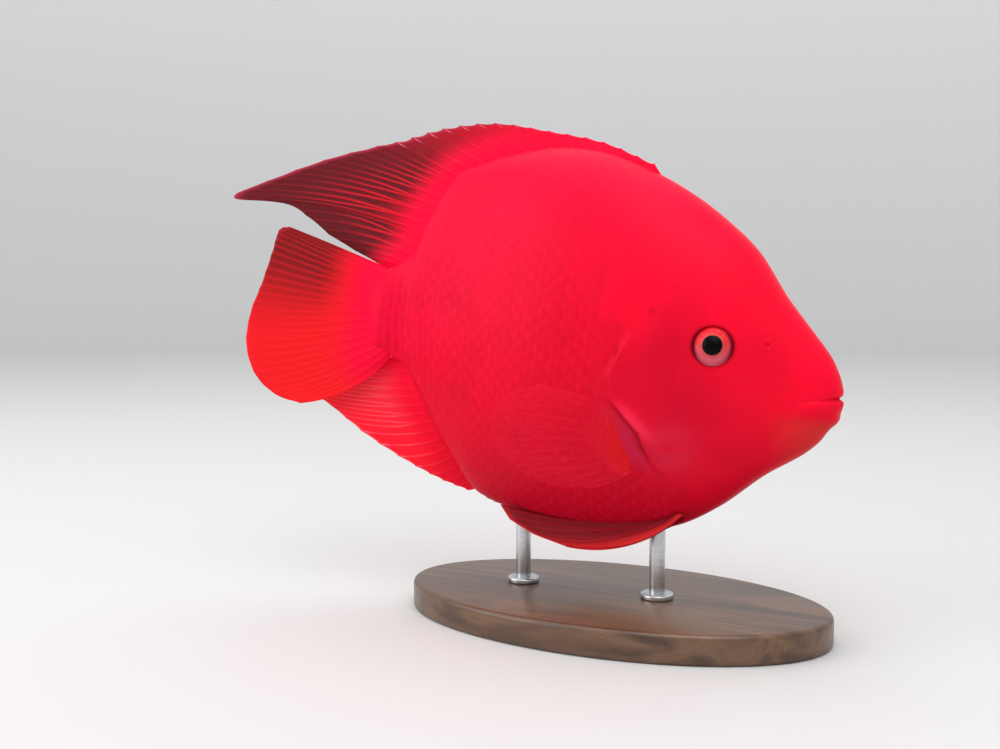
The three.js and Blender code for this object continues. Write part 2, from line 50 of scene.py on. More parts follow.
def lerp(a, b, share):
    return a + (b - a) * share


def smooth(value, low, high):
    share = np.clip((value - low) / (high - low), 0.0, 1.0)
    return share * share * (3.0 - 2.0 * share)


# 1 at one value, falling off on both sides.
def hill(value, at, width):
    return np.exp(-((value - at) / width) ** 2)


# 1 between a rise and a fall, 0 outside them.
def window(value, rise, fall):
    return smooth(value, *rise) * (1 - smooth(value, *fall))


# Where a test stops being true, found by halving the span.
def halved(low, high, steps, isTrue):
    for _ in range(steps):
        middle = 0.5 * (low + high)
        inside = isTrue(middle)
        low = np.where(inside, middle, low)
        high = np.where(inside, high, middle)
    return 0.5 * (low + high)


def unitNormal(first, second, least=1e-15):
    normal = np.cross(first, second)
    return normal / np.maximum(np.linalg.norm(normal, axis=1), least)[:, None]


def clearSelection():
    if bpy.context.object and bpy.context.object.mode != "OBJECT":
        bpy.ops.object.mode_set(mode="OBJECT")
    bpy.ops.object.select_all(action="DESELECT")


def selectOnly(piece):
    clearSelection()
    piece.select_set(True)
    bpy.context.view_layer.objects.active = piece


def makeGrid(columns, rows, location):
    clearSelection()
    bpy.ops.mesh.primitive_grid_add(x_subdivisions=columns, y_subdivisions=rows, size=1.0, location=location)
    bpy.ops.object.transform_apply(location=True)
    return bpy.context.object


def vertexArray(mesh):
    flat = np.empty(len(mesh.vertices) * 3, np.float64)
    mesh.vertices.foreach_get("co", flat)
    return flat.reshape(-1, 3)


def storePoints(mesh, points):
    mesh.vertices.foreach_set("co", np.ascontiguousarray(points, np.float64).ravel())
    mesh.update()


def storeValues(mesh, name, values):
    layer = mesh.attributes.new(name, "FLOAT", "POINT")
    layer.data.foreach_set("value", np.ascontiguousarray(values, np.float32))


def closeUp(piece, distance=0.000004):
    selectOnly(piece)
    bpy.ops.object.mode_set(mode="EDIT")
    bpy.ops.mesh.select_all(action="SELECT")
    bpy.ops.mesh.remove_doubles(threshold=distance)
    bpy.ops.mesh.dissolve_degenerate(threshold=distance * 0.5)
    bpy.ops.mesh.select_all(action="SELECT")
    bpy.ops.mesh.normals_make_consistent(inside=False)
    bpy.ops.object.mode_set(mode="OBJECT")
    bpy.ops.object.shade_smooth()


def newMaterial(name):
    material = bpy.data.materials.new(name)
    material.use_nodes = True
    return material, material.node_tree, material.node_tree.nodes["Principled BSDF"]


def addNode(tree, kind, **settings):
    node = tree.nodes.new(kind)
    for key, value in settings.items():
        setattr(node, key, value)
    return node


def setInputs(node, values):
    for name, value in values.items():
        node.inputs[name].default_value = value


def feed(tree, sockets, values):
    for socket, value in zip(sockets, values):
        if isinstance(value, bpy.types.NodeSocket):
            tree.links.new(value, socket)
        else:
            socket.default_value = (*value, 1.0) if isinstance(value, tuple) else value


def mixColours(tree, share, first, second):
    mix = addNode(tree, "ShaderNodeMix", data_type="RGBA")
    feed(tree, (mix.inputs[0], mix.inputs[6], mix.inputs[7]), (share, first, second))
    return mix.outputs[2]


def addMath(tree, operation, first, second):
    node = addNode(tree, "ShaderNodeMath", operation=operation)
    feed(tree, node.inputs, (first, second))
    return node.outputs[0]


def addRamp(tree, source, stops):
    ramp = addNode(tree, "ShaderNodeValToRGB")
    tree.links.new(source, ramp.inputs[0])
    elements = ramp.color_ramp.elements
    while len(elements) < len(stops):
        elements.new(0.5)
    for element, (place, colour) in zip(elements, stops):
        element.position = place
        element.color = (*colour, 1.0)
    return ramp.outputs["Color"]


def addSmoothStep(tree, source, low, high):
    node = addNode(tree, "ShaderNodeMapRange", interpolation_type="SMOOTHSTEP")
    tree.links.new(source, node.inputs["Value"])
    setInputs(node, {"From Min": low, "From Max": high})
    return node.outputs[0]


def readValue(tree, name):
    return addNode(tree, "ShaderNodeAttribute", attribute_name=name).outputs["Fac"]


def objectPlace(tree, scale=None):
    place = addNode(tree, "ShaderNodeTexCoord").outputs["Object"]
    if scale is None:
        return place
    stretch = addNode(tree, "ShaderNodeMapping")
    stretch.inputs["Scale"].default_value = scale
    tree.links.new(place, stretch.inputs["Vector"])
    return stretch.outputs[0]


def addNoise(tree, place, **inputs):
    noise = addNode(tree, "ShaderNodeTexNoise")
    setInputs(noise, inputs)
    tree.links.new(place, noise.inputs["Vector"])
    return noise.outputs["Fac"]


def addBump(tree, shader, height, strength, distance):
    bump = addNode(tree, "ShaderNodeBump")
    setInputs(bump, {"Strength": strength, "Distance": distance})
    tree.links.new(height, bump.inputs["Height"])
    tree.links.new(bump.outputs["Normal"], shader.inputs["Normal"])


# Camera, light and floor

cameraPlace = {
    "at": (0.12563, -0.30338, 0.09230), "towards": (-0.46838, 0.88090, -0.06802),
    "focalPixels": 1167.0, "pictureWidth": 1000, "sensorWidth": 36.0, "nearest": 0.01,
}
studio = {
    "floorRadius": 1.7, "wallRadius": 2.6, "wallTop": 1.5, "sides": 128, "steps": 12,
    "tone": (0.585, 0.58, 0.575), "wallTone": (0.80, 0.80, 0.80), "wallToneFrom": 0.8, "roughness": 0.8,
}
lamps = {
    "key": {"at": (0.30, -0.45, 0.80), "aim": (0.0, 0.0, 0.08), "size": 0.7, "power": 3.0,
            "tint": (1.0, 0.98, 0.96)},
    "top": {"at": (-0.15, 0.05, 0.95), "aim": (0.0, 0.0, 0.08), "size": 0.9, "power": 3.3,
            "tint": (1.0, 1.0, 1.0)},
    "fill": {"at": (-0.75, -0.65, 0.45), "aim": (0.0, 0.0, 0.06), "size": 0.9, "power": 4.6,
             "tint": (0.98, 0.98, 1.0)},
}
sky = {"tone": (0.93, 0.94, 0.96), "strength": 1.05}


def makeCamera():
    data = bpy.data.cameras.new("camera")
    data.sensor_width = cameraPlace["sensorWidth"]
    data.lens = cameraPlace["focalPixels"] * cameraPlace["sensorWidth"] / cameraPlace["pictureWidth"]
    data.clip_start = cameraPlace["nearest"]
    camera = bpy.data.objects.new("camera", data)
    camera.location = cameraPlace["at"]
    camera.rotation_euler = Vector(cameraPlace["towards"]).to_track_quat("-Z", "Y").to_euler()
    bpy.context.collection.objects.link(camera)
    bpy.context.scene.camera = camera


def makeLamps():
    for name, lamp in lamps.items():
        data = bpy.data.lights.new(name, "AREA")
        data.shape = "DISK"
        data.size = lamp["size"]
        data.energy = lamp["power"]
        data.color = lamp["tint"]
        light = bpy.data.objects.new(name, data)
        light.location = lamp["at"]
        beam = Vector(lamp["aim"]) - Vector(lamp["at"])
        light.rotation_euler = beam.to_track_quat("-Z", "Y").to_euler()
        bpy.context.collection.objects.link(light)
    world = bpy.data.worlds.new("studio")
    bpy.context.scene.world = world
    world.use_nodes = True
    setInputs(world.node_tree.nodes["Background"], {"Color": (*sky["tone"], 1.0), "Strength": sky["strength"]})


# A round floor whose rim sweeps up into a plain wall on all sides.
def makeFloor():
    clearSelection()
    bpy.ops.mesh.primitive_circle_add(vertices=studio["sides"], radius=studio["floorRadius"], fill_type="NGON")
    floor = bpy.context.object
    floor.name = "floor"
    bpy.ops.object.mode_set(mode="EDIT")
    bpy.ops.mesh.select_all(action="SELECT")
    bpy.ops.mesh.region_to_loop()
    radius = studio["floorRadius"]
    height = 0.0
    for step in range(1, studio["steps"] + 1):
        turn = 0.5 * math.pi * step / studio["steps"]
        wider = lerp(studio["floorRadius"], studio["wallRadius"], math.sin(turn))
        higher = studio["wallTop"] * (1 - math.cos(turn))
        bpy.ops.mesh.extrude_region_move(TRANSFORM_OT_translate={"value": (0.0, 0.0, higher - height)})
        bpy.ops.transform.resize(value=(wider / radius, wider / radius, 1.0), center_override=(0.0, 0.0, 0.0))
        radius, height = wider, higher
    bpy.ops.object.mode_set(mode="OBJECT")
    bpy.ops.object.shade_smooth_by_angle(angle=math.radians(40))
    material, tree, shader = newMaterial("paleFloor")
    apart = addNode(tree, "ShaderNodeSeparateXYZ")
    tree.links.new(objectPlace(tree), apart.inputs[0])
    tones = [(0.0, studio["tone"]), (studio["wallToneFrom"], studio["wallTone"])]
    tree.links.new(addRamp(tree, apart.outputs["Z"], tones), shader.inputs["Base Color"])
    setInputs(shader, {"Roughness": studio["roughness"]})
    floor.data.materials.append(material)


makeCamera()
makeLamps()
makeFloor()
bpy.context.scene.view_settings.view_transform = "Standard"
print("camera, light and floor are in place")

# The fish's own frame, and its body

stance = {
    "noseDown": math.radians(8.5), "snoutX": 64.0, "height": 76.0,
    "bendStart": 84.0, "bendEnd": 136.0, "tailTurn": math.radians(22.0),
}

# Back (s, v), belly (s, v), flank (s, v) and half width. The last three lie over the root of the tail fin.
bodyStations = [
    (-0.1, -0.2, -0.4, -2.2, -0.2, -1.2, 0.9),
    (0.3, 1.9, -0.4, -4.7, 1.2, -1.4, 3.5),
    (1.4, 4.8, -0.4, -7.2, 3.2, -1.4, 5.6),
    (4.4, 9.4, 1.6, -10.3, 6.4, -1.0, 7.4),
    (9.8, 14.8, 7.0, -16.8, 11.5, -0.5, 9.3),
    (18.4, 23.2, 16.4, -24.8, 20.0, 0.5, 12.2),
    (27.3, 33.4, 26.4, -35.2, 30.0, 1.5, 15.2),
    (37.2, 40.6, 36.9, -43.1, 39.0, 2.0, 17.9),
    (48.5, 46.8, 49.0, -47.6, 49.5, 2.0, 20.4),
    (62.0, 52.0, 62.0, -50.8, 62.0, 1.6, 21.6),
    (76.0, 55.2, 76.0, -51.7, 76.0, 0.8, 21.4),
    (90.0, 55.0, 89.0, -50.5, 90.0, 0.2, 19.1),
    (102.0, 52.0, 100.0, -47.8, 102.0, 0.2, 15.6),
    (112.0, 48.0, 109.0, -39.6, 112.0, 0.5, 12.0),
    (120.0, 42.6, 117.0, -29.8, 119.5, 0.8, 9.0),
    (125.8, 31.5, 123.4, -20.0, 125.5, 1.0, 6.7),
    (129.6, 20.0, 128.2, -13.6, 130.0, 1.0, 4.8),
    (136.0, 13.2, 136.0, -11.8, 136.0, 0.8, 3.2),
    (140.0, 12.6, 140.0, -12.2, 140.5, 0.5, 1.40),
    (144.0, 11.6, 144.0, -12.0, 144.8, 0.0, 0.52),
    (148.0, 10.0, 148.0, -11.0, 149.0, -0.5, 0.10),
]
cadSpans = 17
roundness = {"head": 0.95, "trunk": 1.12, "headUpTo": 0.35, "trunkFrom": 0.7}

gillEdge = [
    (53.4, 60), (53.6, 30), (51.6, 14), (51.4, 8), (53.9, 3), (56.0, -3.6), (54.8, -9.4), (50.4, -13.6),
    (46.4, -17.2), (44.4, -21.5), (41.6, -26), (37.0, -29), (31.0, -33), (26.0, -60),
]


def guideLine(points, share):
    points = np.array(points, float)
    last = len(points) - 1
    place = np.clip(share, 0.0, 1.0) * last
    step = np.minimum(place.astype(int), last - 1)
    rest = (place - step)[..., None]
    padded = np.vstack([2 * points[0] - points[1], points, 2 * points[-1] - points[-2]])
    before, start, end, after = (padded[step + i] for i in range(4))
    slopeIn = 0.5 * (end - before)
    slopeOut = 0.5 * (after - start)
    square = 3 * (end - start) - 2 * slopeIn - slopeOut
    cube = 2 * (start - end) + slopeIn + slopeOut
    return start + slopeIn * rest + square * rest ** 2 + cube * rest ** 3


def placed(s, w, v, base=None):
    base = s if base is None else base
    radius = (stance["bendEnd"] - stance["bendStart"]) / stance["tailTurn"]
    turn = np.clip((base - stance["bendStart"]) / radius, 0.0, stance["tailTurn"])
    reach = s - stance["bendStart"] - radius * turn
    along = stance["bendStart"] + radius * np.sin(turn) + reach * np.cos(turn) + w * np.sin(turn)
    left = -radius * (1 - np.cos(turn)) - reach * np.sin(turn) + w * np.cos(turn)
    x = stance["snoutX"] - along
    level, steep = math.cos(stance["noseDown"]), math.sin(stance["noseDown"])
    return np.stack([x * level + v * steep, left, v * level - x * steep + stance["height"]], -1) * mm


# 0 at the bottom of the belly, 1 along the back and towards the tail. Partly the fish's own shift of tone,
# partly painted light and shade: the belly is painted darker as if in shade from the light above, and the
# back, tail and snout are painted lighter.
def bodyToneAndPaintedLight(s, v):
    return np.clip((v + 52 + 0.9 * np.maximum(s - 72, 0) + 1.2 * np.maximum(18 - s, 0)) / 108, 0.0, 1.0)


def edgeAt(line, v):
    points = np.array(line, float)[::-1]
    return np.interp(v, points[:, 1], points[:, 0])


# Place is counted in stations from the snout, angle from the back over the left flank.
def bodySection(place, angle):
    line = guideLine(bodyStations, place / (len(bodyStations) - 1))
    backS, backV, bellyS, bellyV, flankS, flankV, half = np.moveaxis(line, -1, 0)
    overBack = np.cos(angle) >= 0
    upright = np.abs(np.cos(angle))
    s = lerp(flankS, np.where(overBack, backS, bellyS), upright)
    v = lerp(flankV, np.where(overBack, backV, bellyV), upright)
    power = lerp(roundness["head"], roundness["trunk"],
                 smooth(place / cadSpans, roundness["headUpTo"], roundness["trunkFrom"]))
    w = np.sign(np.sin(angle)) * np.maximum(half, 0.05) * np.abs(np.sin(angle)) ** power
    return s, v, w


def bodyPoint(place, angle):
    s, v, w = bodySection(place, angle)
    return placed(s, w, v)


def gillPlace(angle):
    def isAhead(place):
        s, v, _w = bodySection(place, angle)
        return s < edgeAt(gillEdge, v)
    return halved(np.full_like(angle, 4.0), np.full_like(angle, 12.0), 24, isAhead)


# Skin

skin = {
    "around": 376, "inMouth": 5, "onHead": 136, "onTrunk": 80, "edgeStep": 0.022, "mouthDepth": 3.2,
    "gillSwell": 0.48, "gillSwellReach": 11.0, "gillSwellTop": 6.0, "gillSwellBottom": -24.0,
    "swellFade": 6.0, "fineCuts": 2, "fineRadius": 6.8, "throatV": -1.3, "reliefEnds": (17.0, 19.0),
    "tailEnd": (148.5, -0.5),
}
eyeSpot = {
    "s": 31.0, "v": 8.3, "radius": 5.3, "depth": 4.0, "sunk": 2.15, "forward": math.radians(14),
    "up": math.radians(10), "socketDepth": 3.2, "lid": (4.45, 5.30), "orbit": 0.3, "orbitRadius": 7.0,
    "lidShadeAt": 5.3, "lidShadeWidth": 0.5, "lidShade": 0.75, "reach": 0.018,
}
nostril = {
    "s": 18.2, "v": 10.4, "pit": 0.45, "pitEdge": (0.2, 0.75), "rim": 0.05, "rimAt": 1.1, "rimWidth": 0.4,
    "fineRadius": 2.4,
}
mouthLine = [
    (-2.0, -0.9), (0.0, -0.8), (1.4, -1.0), (2.5, -1.3), (5.9, -2.2), (8.9, -2.9), (11.0, -4.2), (14.0, -6.5),
]


def distanceTo(line, s, v):
    points = np.array(line, float)
    best = np.full(s.shape, 1e9)
    for (s0, v0), (s1, v1) in zip(points[:-1], points[1:]):
        ds, dv = s1 - s0, v1 - v0
        share = np.clip(((s - s0) * ds + (v - v0) * dv) / (ds * ds + dv * dv), 0.0, 1.0)
        best = np.minimum(best, np.hypot(s - s0 - share * ds, v - v0 - share * dv))
    return best


# Soft spots on the head, each (s, v, length, height, strength). The pores are darkened as painted shade in
# their pits.
headSpots = {
    "pores": [(47.3, 14.8, 0.7, 0.7, 0.36), (41.5, 19.5, 0.5, 0.5, 0.12), (35.0, 18.5, 0.5, 0.5, 0.12),
              (24.5, 15.8, 0.5, 0.5, 0.12)],
    "cheek": [(37, -8, 13, 12, 1.0), (42, 7, 7, 8, 0.9), (54, -3, 4, 8, 0.6)],
    "mottled": [(37.5, -20.0, 5.5, 6.5, 0.70)],
    "chinHollow": [(1.6, -8.8, 3.2, 3.0, 0.75)],
}
folds = [
    {"line": [(40.4, 6.5), (38.6, -2), (35.6, -13.1), (31.4, -18.8), (25.5, -22.5)],
     "width": 1.5, "depth": 0.22},
    {"line": [(8.2, -2.6), (10, -5.4), (12.3, -10.6), (14.2, -14.9)], "width": 1.1, "depth": 0.16},
    {"line": [(3.2, -6.6), (6.0, -7.8), (9.0, -8.9), (11.0, -10.0)], "width": 0.9, "depth": 0.14},
]
gillCrease = {
    "onEdge": 0.45, "edgeWidth": 0.4, "width": 1.1, "faint": 0.05, "deep": 0.62,
    "deepFrom": (-28.0, -20.0), "deepTo": (-16.0, -8.5), "lift": 0.35, "hollow": (0.12, 0.55),
    "hollowWidth": 2.2, "pale": 0.60, "paleAt": 3.6, "paleWidth": 2.6, "paleFrom": (-31, -22),
    "paleTo": (-17, -9), "lightAt": 2.0, "lightWidth": 2.4, "lightFrom": (-21.0, -16.0),
    "lightTo": (-14.0, -8.0),
}
lips = {
    "sides": ((1, 4.4, 0.22), (-1, 4.2, 0.34)), "fadeFrom": 5.0, "fadeTo": 10.5, "crest": 0.357,
    "slitWidth": (0.60, 0.30), "slitNarrowBy": 4,
    "slits": ((0.55, 0.2, 2.8), (0.28, 0.5, 4.5), (0.08, 4.0, 9.5)),
}


def spots(s, v, kind):
    return sum(strength * hill(s, atS, long) * hill(v, atV, high)
               for atS, atV, long, high, strength in headSpots[kind])


# 0 to 1, where the gill opening gapes beside the root of the pectoral fin.
def gillSharpness(v):
    return window(v, gillCrease["deepFrom"], gillCrease["deepTo"])


# Painted shade in the gill crease and in the small pits of the head's pores.
def creaseShade(s, v, onEdge):
    behind = s - edgeAt(gillEdge, v)
    shade = np.where(onEdge, gillCrease["onEdge"] * hill(behind, 0, gillCrease["edgeWidth"]),
                     hill(behind, 0, gillCrease["width"]))
    shade = shade * (gillCrease["faint"] + gillCrease["deep"] * gillSharpness(v))
    return np.clip(shade + spots(s, v, "pores"), 0, 1)


# Darker red over the cheek, behind the eye and along the gill edge: partly the fish's own mottling, partly
# painted shade that shapes the head.
def cheekShade(s, v):
    return np.clip(spots(s, v, "cheek"), 0, 1)


# A duller band behind the gill opening, and a painted highlight on the gill cover before it.
def paleShade(s, v):
    band = gillCrease["pale"] * hill(s - edgeAt(gillEdge, v), gillCrease["paleAt"], gillCrease["paleWidth"])
    return band * window(v, gillCrease["paleFrom"], gillCrease["paleTo"])


def paintedCoverHighlight(s, v):
    band = hill(edgeAt(gillEdge, v) - s, gillCrease["lightAt"], gillCrease["lightWidth"])
    return band * window(v, gillCrease["lightFrom"], gillCrease["lightTo"])


# How far the gill covers, lips and folds stand out from the plain body, in millimetres.
def skinRelief(s, v, onEdge):
    bottom, top, blur = skin["gillSwellBottom"], skin["gillSwellTop"], skin["swellFade"]
    shown = window(v, (bottom - blur, bottom + blur), (top - blur, top + blur))
    ahead = edgeAt(gillEdge, v) - s
    sharp = gillSharpness(v)
    cover = (skin["gillSwell"] + gillCrease["lift"] * sharp) * (1 - smooth(ahead, 0, skin["gillSwellReach"]))
    shallow, deeper = gillCrease["hollow"]
    behind = -(shallow + deeper * sharp) * hill(ahead, 0, gillCrease["hollowWidth"])
    relief = np.where(onEdge, cover, behind) * shown

    offMouth = v - np.interp(s, *np.array(mouthLine, float).T)
    front = 1 - smooth(s, lips["fadeFrom"], lips["fadeTo"])
    crest = lips["crest"]
    for side, height, fullness in lips["sides"]:
        share = np.clip(side * offMouth / height, 0.0, 1.0)
        inner = np.sqrt(np.clip(1 - (2.8 * np.minimum(share, crest) - 1) ** 2, 0, 1))
        outer = 1 - smooth(share, crest, 1.0)
        relief = relief + fullness * front * np.where(share < crest, inner, outer) * (side * offMouth > 0)
    slit = hill(offMouth, 0, lerp(*lips["slitWidth"], smooth(s, 0, lips["slitNarrowBy"])))
    relief = relief - slit * sum(depth * (1 - smooth(s, start, end)) for depth, start, end in lips["slits"])
    relief = relief - spots(s, v, "chinHollow")
    for fold in folds:
        relief = relief - fold["depth"] * hill(distanceTo(fold["line"], s, v), 0, fold["width"])
    return relief


def eyeAxis(side):
    forward, up = eyeSpot["forward"], eyeSpot["up"]
    axis = np.array([math.sin(forward), side * math.cos(forward), math.sin(up)])
    axis = axis / np.linalg.norm(axis)
    level, steep = math.cos(stance["noseDown"]), math.sin(stance["noseDown"])
    return np.array([axis[0] * level + axis[2] * steep, axis[1], axis[2] * level - axis[0] * steep])


# How strong the painted shadow round the eye is: 0.2 above and below the eye's centre, 1 level with it.
def sideways(offset, axis, across):
    level = np.cross(axis, (0.0, 0.0, 1.0))
    share = (offset @ (level / np.linalg.norm(level))) / np.maximum(across * mm, 1e-9)
    return lerp(0.2, 1.0, np.clip(share, -1, 1) ** 2)


# The body's surface at (s, v) on one side, found by narrowing down its place and angle.
def flankPoint(s, v, side):
    place, angle = 6.0, side * 0.5 * math.pi
    for _ in range(40):
        at = [np.array(x) for x in bodySection(np.array(place), np.array(angle))]
        alongPlace = [np.array(x) for x in bodySection(np.array(place + 0.001), np.array(angle))]
        alongAngle = [np.array(x) for x in bodySection(np.array(place), np.array(angle + 0.001))]
        slope = np.array([[alongPlace[0] - at[0], alongAngle[0] - at[0]],
                          [alongPlace[1] - at[1], alongAngle[1] - at[1]]]) / 0.001
        move = np.linalg.solve(slope, np.array([s - at[0], v - at[1]]))
        place += 0.7 * move[0]
        angle += 0.7 * move[1]
    return bodyPoint(np.array(place), np.array(angle))


eyes = {}
nostrils = []
for side, sideName in ((-1, "right"), (1, "left")):
    surface = flankPoint(eyeSpot["s"], eyeSpot["v"], side)
    axis = eyeAxis(side)
    eyes[sideName] = {"centre": surface - axis * eyeSpot["sunk"] * mm, "axis": axis, "surface": surface}
    nostrils.append(flankPoint(nostril["s"], nostril["v"], side))


def gridPlaces(x, y):
    mouthRows, headRows, trunkRows = skin["inMouth"], skin["onHead"], skin["onTrunk"]
    row = y * (mouthRows + headRows + 1 + trunkRows)
    angle = 2 * math.pi * x
    edge = gillPlace(angle)
    last = len(bodyStations) - 1
    inside = np.clip(1 - row / mouthRows, 0.0, 1.0)
    onHead = np.clip((row - mouthRows) / headRows, 0.0, 1.0)
    overEdge = np.clip(row - mouthRows - headRows, 0.0, 1.0)
    onTrunk = np.clip((row - mouthRows - headRows - 1) / trunkRows, 0.0, 1.0)
    step = skin["edgeStep"]
    place = edge * onHead + step * overEdge + (last - edge - step) * onTrunk
    return place, angle, inside, overEdge < 0.5


def makeSkin():
    rows = skin["inMouth"] + skin["onHead"] + 1 + skin["onTrunk"]
    piece = makeGrid(skin["around"], rows, (0.5, 0.5, 0.0))
    piece.name = "fishSkin"
    mesh = piece.data

    # The faces round each eye and nostril are cut finer, for a clean rim.
    points = vertexArray(mesh)
    place, angle, _inside, _onEdge = gridPlaces(points[:, 0], points[:, 1])
    world = bodyPoint(place, angle)
    near = np.zeros(len(points), bool)
    for eye in eyes.values():
        near |= np.linalg.norm(world - eye["surface"], axis=1) < skin["fineRadius"] * mm
    for spot in nostrils:
        near |= np.linalg.norm(world - spot, axis=1) < nostril["fineRadius"] * mm
    bpy.ops.object.mode_set(mode="EDIT")
    bpy.ops.mesh.select_mode(type="FACE")
    bpy.ops.mesh.select_all(action="DESELECT")
    bpy.ops.object.mode_set(mode="OBJECT")
    for polygon in mesh.polygons:
        polygon.select = bool(near[list(polygon.vertices)].all())
    bpy.ops.object.mode_set(mode="EDIT")
    bpy.ops.mesh.subdivide(number_cuts=skin["fineCuts"])
    bpy.ops.object.mode_set(mode="OBJECT")

    points = vertexArray(mesh)
    place, angle, inside, onEdge = gridPlaces(points[:, 0], points[:, 1])
    s, v, w = bodySection(place, angle)
    small = 0.0005
    alongPlace = bodyPoint(np.minimum(place + small, len(bodyStations) - 1), angle) \
        - bodyPoint(np.maximum(place - small, 0), angle)
    alongAngle = bodyPoint(place, angle + small) - bodyPoint(place, angle - small)
    normal = unitNormal(alongAngle, alongPlace)
    world = placed(s, w, v)
    relief = skinRelief(s, v, onEdge) * (1 - smooth(place, *skin["reliefEnds"]))
    world = world + normal * (relief * mm)[:, None]

    # Eye sockets and nostrils
    orbitShade = np.zeros(len(points))
    for eye in eyes.values():
        offset = world - eye["centre"]
        depth = offset @ eye["axis"]
        across = np.linalg.norm(offset - depth[:, None] * eye["axis"], axis=1) / mm
        near = np.linalg.norm(offset, axis=1) < eyeSpot["reach"]
        orbit = -eyeSpot["orbit"] * np.exp(-(across / eyeSpot["orbitRadius"]) ** 4)
        socket = -eyeSpot["socketDepth"] * (1 - smooth(across, *eyeSpot["lid"]))
        # A painted shadow ring on the skin round each eye, strongest level with the eye.
        shade = hill(across, eyeSpot["lidShadeAt"], eyeSpot["lidShadeWidth"])
        orbitShade = np.where(near, shade * sideways(offset, eye["axis"], across), orbitShade)
        world = world + np.where(near, (orbit + socket) * mm, 0.0)[:, None] * eye["axis"]
    for spot in nostrils:
        offset = np.linalg.norm(world - spot, axis=1) / mm
        pit = -nostril["pit"] * (1 - smooth(offset, *nostril["pitEdge"])) \
            + nostril["rim"] * hill(offset, nostril["rimAt"], nostril["rimWidth"])
        world = world + normal * (pit * mm)[:, None]

    # The rows inside the mouth run back to one point, and so does the last row at the tail.
    throat = placed(np.array(skin["mouthDepth"]), np.array(0.0), np.array(skin["throatV"]))
    world = world + (throat - world) * inside[:, None]
    endS, endV = skin["tailEnd"]
    world[points[:, 1] > 1 - 1e-6] = placed(np.array(endS), np.array(0.0), np.array(endV))
    storeValues(mesh, "alongBody", s)
    storeValues(mesh, "upBody", v)
    storeValues(mesh, "toneAndPaintedLight", bodyToneAndPaintedLight(s, v))
    storeValues(mesh, "paintedShade", np.maximum(creaseShade(s, v, onEdge), eyeSpot["lidShade"] * orbitShade))
    storeValues(mesh, "cheek", cheekShade(s, v))
    storeValues(mesh, "behindGill", paleShade(s, v))
    storeValues(mesh, "coverHighlight", paintedCoverHighlight(s, v) * onEdge)
    storeValues(mesh, "mottled", spots(s, v, "mottled") * onEdge)
    storePoints(mesh, world)
    closeUp(piece)
    return piece


skinPiece = makeSkin()
print("skin:", len(skinPiece.data.polygons), "faces")


flesh = {
    "bellyToBackWithPaintedShade": [(0.0, (0.54, 0.003, 0.020)), (0.20, (0.68, 0.003, 0.021)), (0.5, (0.82, 0.003, 0.023)),
                    (0.75, (0.90, 0.003, 0.030)), (1.0, (0.93, 0.003, 0.042))],
    "cloud": (0.50, 0.003, 0.018), "cheek": (0.48, 0.002, 0.022), "cheekShare": 0.50,
    "jaw": (0.66, 0.022, 0.026), "jawS": (17.0, 5.0), "jawV": (-5.0, -9.0),
    "mottled": (0.56, 0.028, 0.076), "blotches": (0.15, 0.75),
    "coverHighlight": (0.88, 0.026, 0.085), "coverHighlightShare": 0.7,
    "behindGill": (0.50, 0.020, 0.070), "paintedShade": (0.11, 0.002, 0.008),
    "surface": {
        "Roughness": 0.38, "Specular IOR Level": 0.05, "Subsurface Weight": 0.12,
        "Subsurface Radius": (1.0, 0.2, 0.15), "Subsurface Scale": 0.003,
    },
}


# The body's red from the dark belly to the light back, with painted shade and painted light in it.
def bodyColourAndPaintedShade(tree):
    return addRamp(tree, readValue(tree, "toneAndPaintedLight"), flesh["bellyToBackWithPaintedShade"])


# Soft clouds of deeper red, alike on skin and scales.
def cloudyColour(tree):
    share = addNode(tree, "ShaderNodeMapRange")
    tree.links.new(addNoise(tree, objectPlace(tree), Scale=70.0, Detail=4.0), share.inputs["Value"])
    setInputs(share, {"From Min": 0.38, "From Max": 0.72, "To Max": 0.32})
    return mixColours(tree, share.outputs[0], bodyColourAndPaintedShade(tree), flesh["cloud"])


# The duller band behind the gill, the painted shade in the gill crease, the pores and round the eyes, and the
# surface, alike on skin and scales.
def finishFlesh(tree, shader, colour):
    pale = mixColours(tree, readValue(tree, "behindGill"), colour, flesh["behindGill"])
    finished = mixColours(tree, readValue(tree, "paintedShade"), pale, flesh["paintedShade"])
    tree.links.new(finished, shader.inputs["Base Color"])
    setInputs(shader, flesh["surface"])


def makeSkinMaterial():
    material, tree, shader = newMaterial("parrotRedSkin")
    place = objectPlace(tree)
    cheek = addMath(tree, "MULTIPLY", readValue(tree, "cheek"), flesh["cheekShare"])
    colour = mixColours(tree, cheek, cloudyColour(tree), flesh["cheek"])
    jaw = addMath(tree, "MULTIPLY", addSmoothStep(tree, readValue(tree, "alongBody"), *flesh["jawS"]),
                  addSmoothStep(tree, readValue(tree, "upBody"), *flesh["jawV"]))
    colour = mixColours(tree, jaw, colour, flesh["jaw"])
    blotches = addSmoothStep(tree, addNoise(tree, place, Scale=150.0, Detail=3.0), *flesh["blotches"])
    mottled = addMath(tree, "MULTIPLY", readValue(tree, "mottled"), blotches)
    colour = mixColours(tree, mottled, colour, flesh["mottled"])
    # A painted pink highlight on the gill cover, just before its edge.
    cover = addMath(tree, "MULTIPLY", readValue(tree, "coverHighlight"), flesh["coverHighlightShare"])
    finishFlesh(tree, shader, mixColours(tree, cover, colour, flesh["coverHighlight"]))
    addBump(tree, shader, addNoise(tree, place, Scale=900.0), 0.15, 0.0001)
    return material


skinPiece.data.materials.append(makeSkinMaterial())
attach(skinPiece, "root")
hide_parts("head", "lower_jaw", "gill_cover_right", "gill_cover_left", "torso", "tail")

# Scales: each is a thin closed plate that follows the flank, its hind edge standing off the skin.

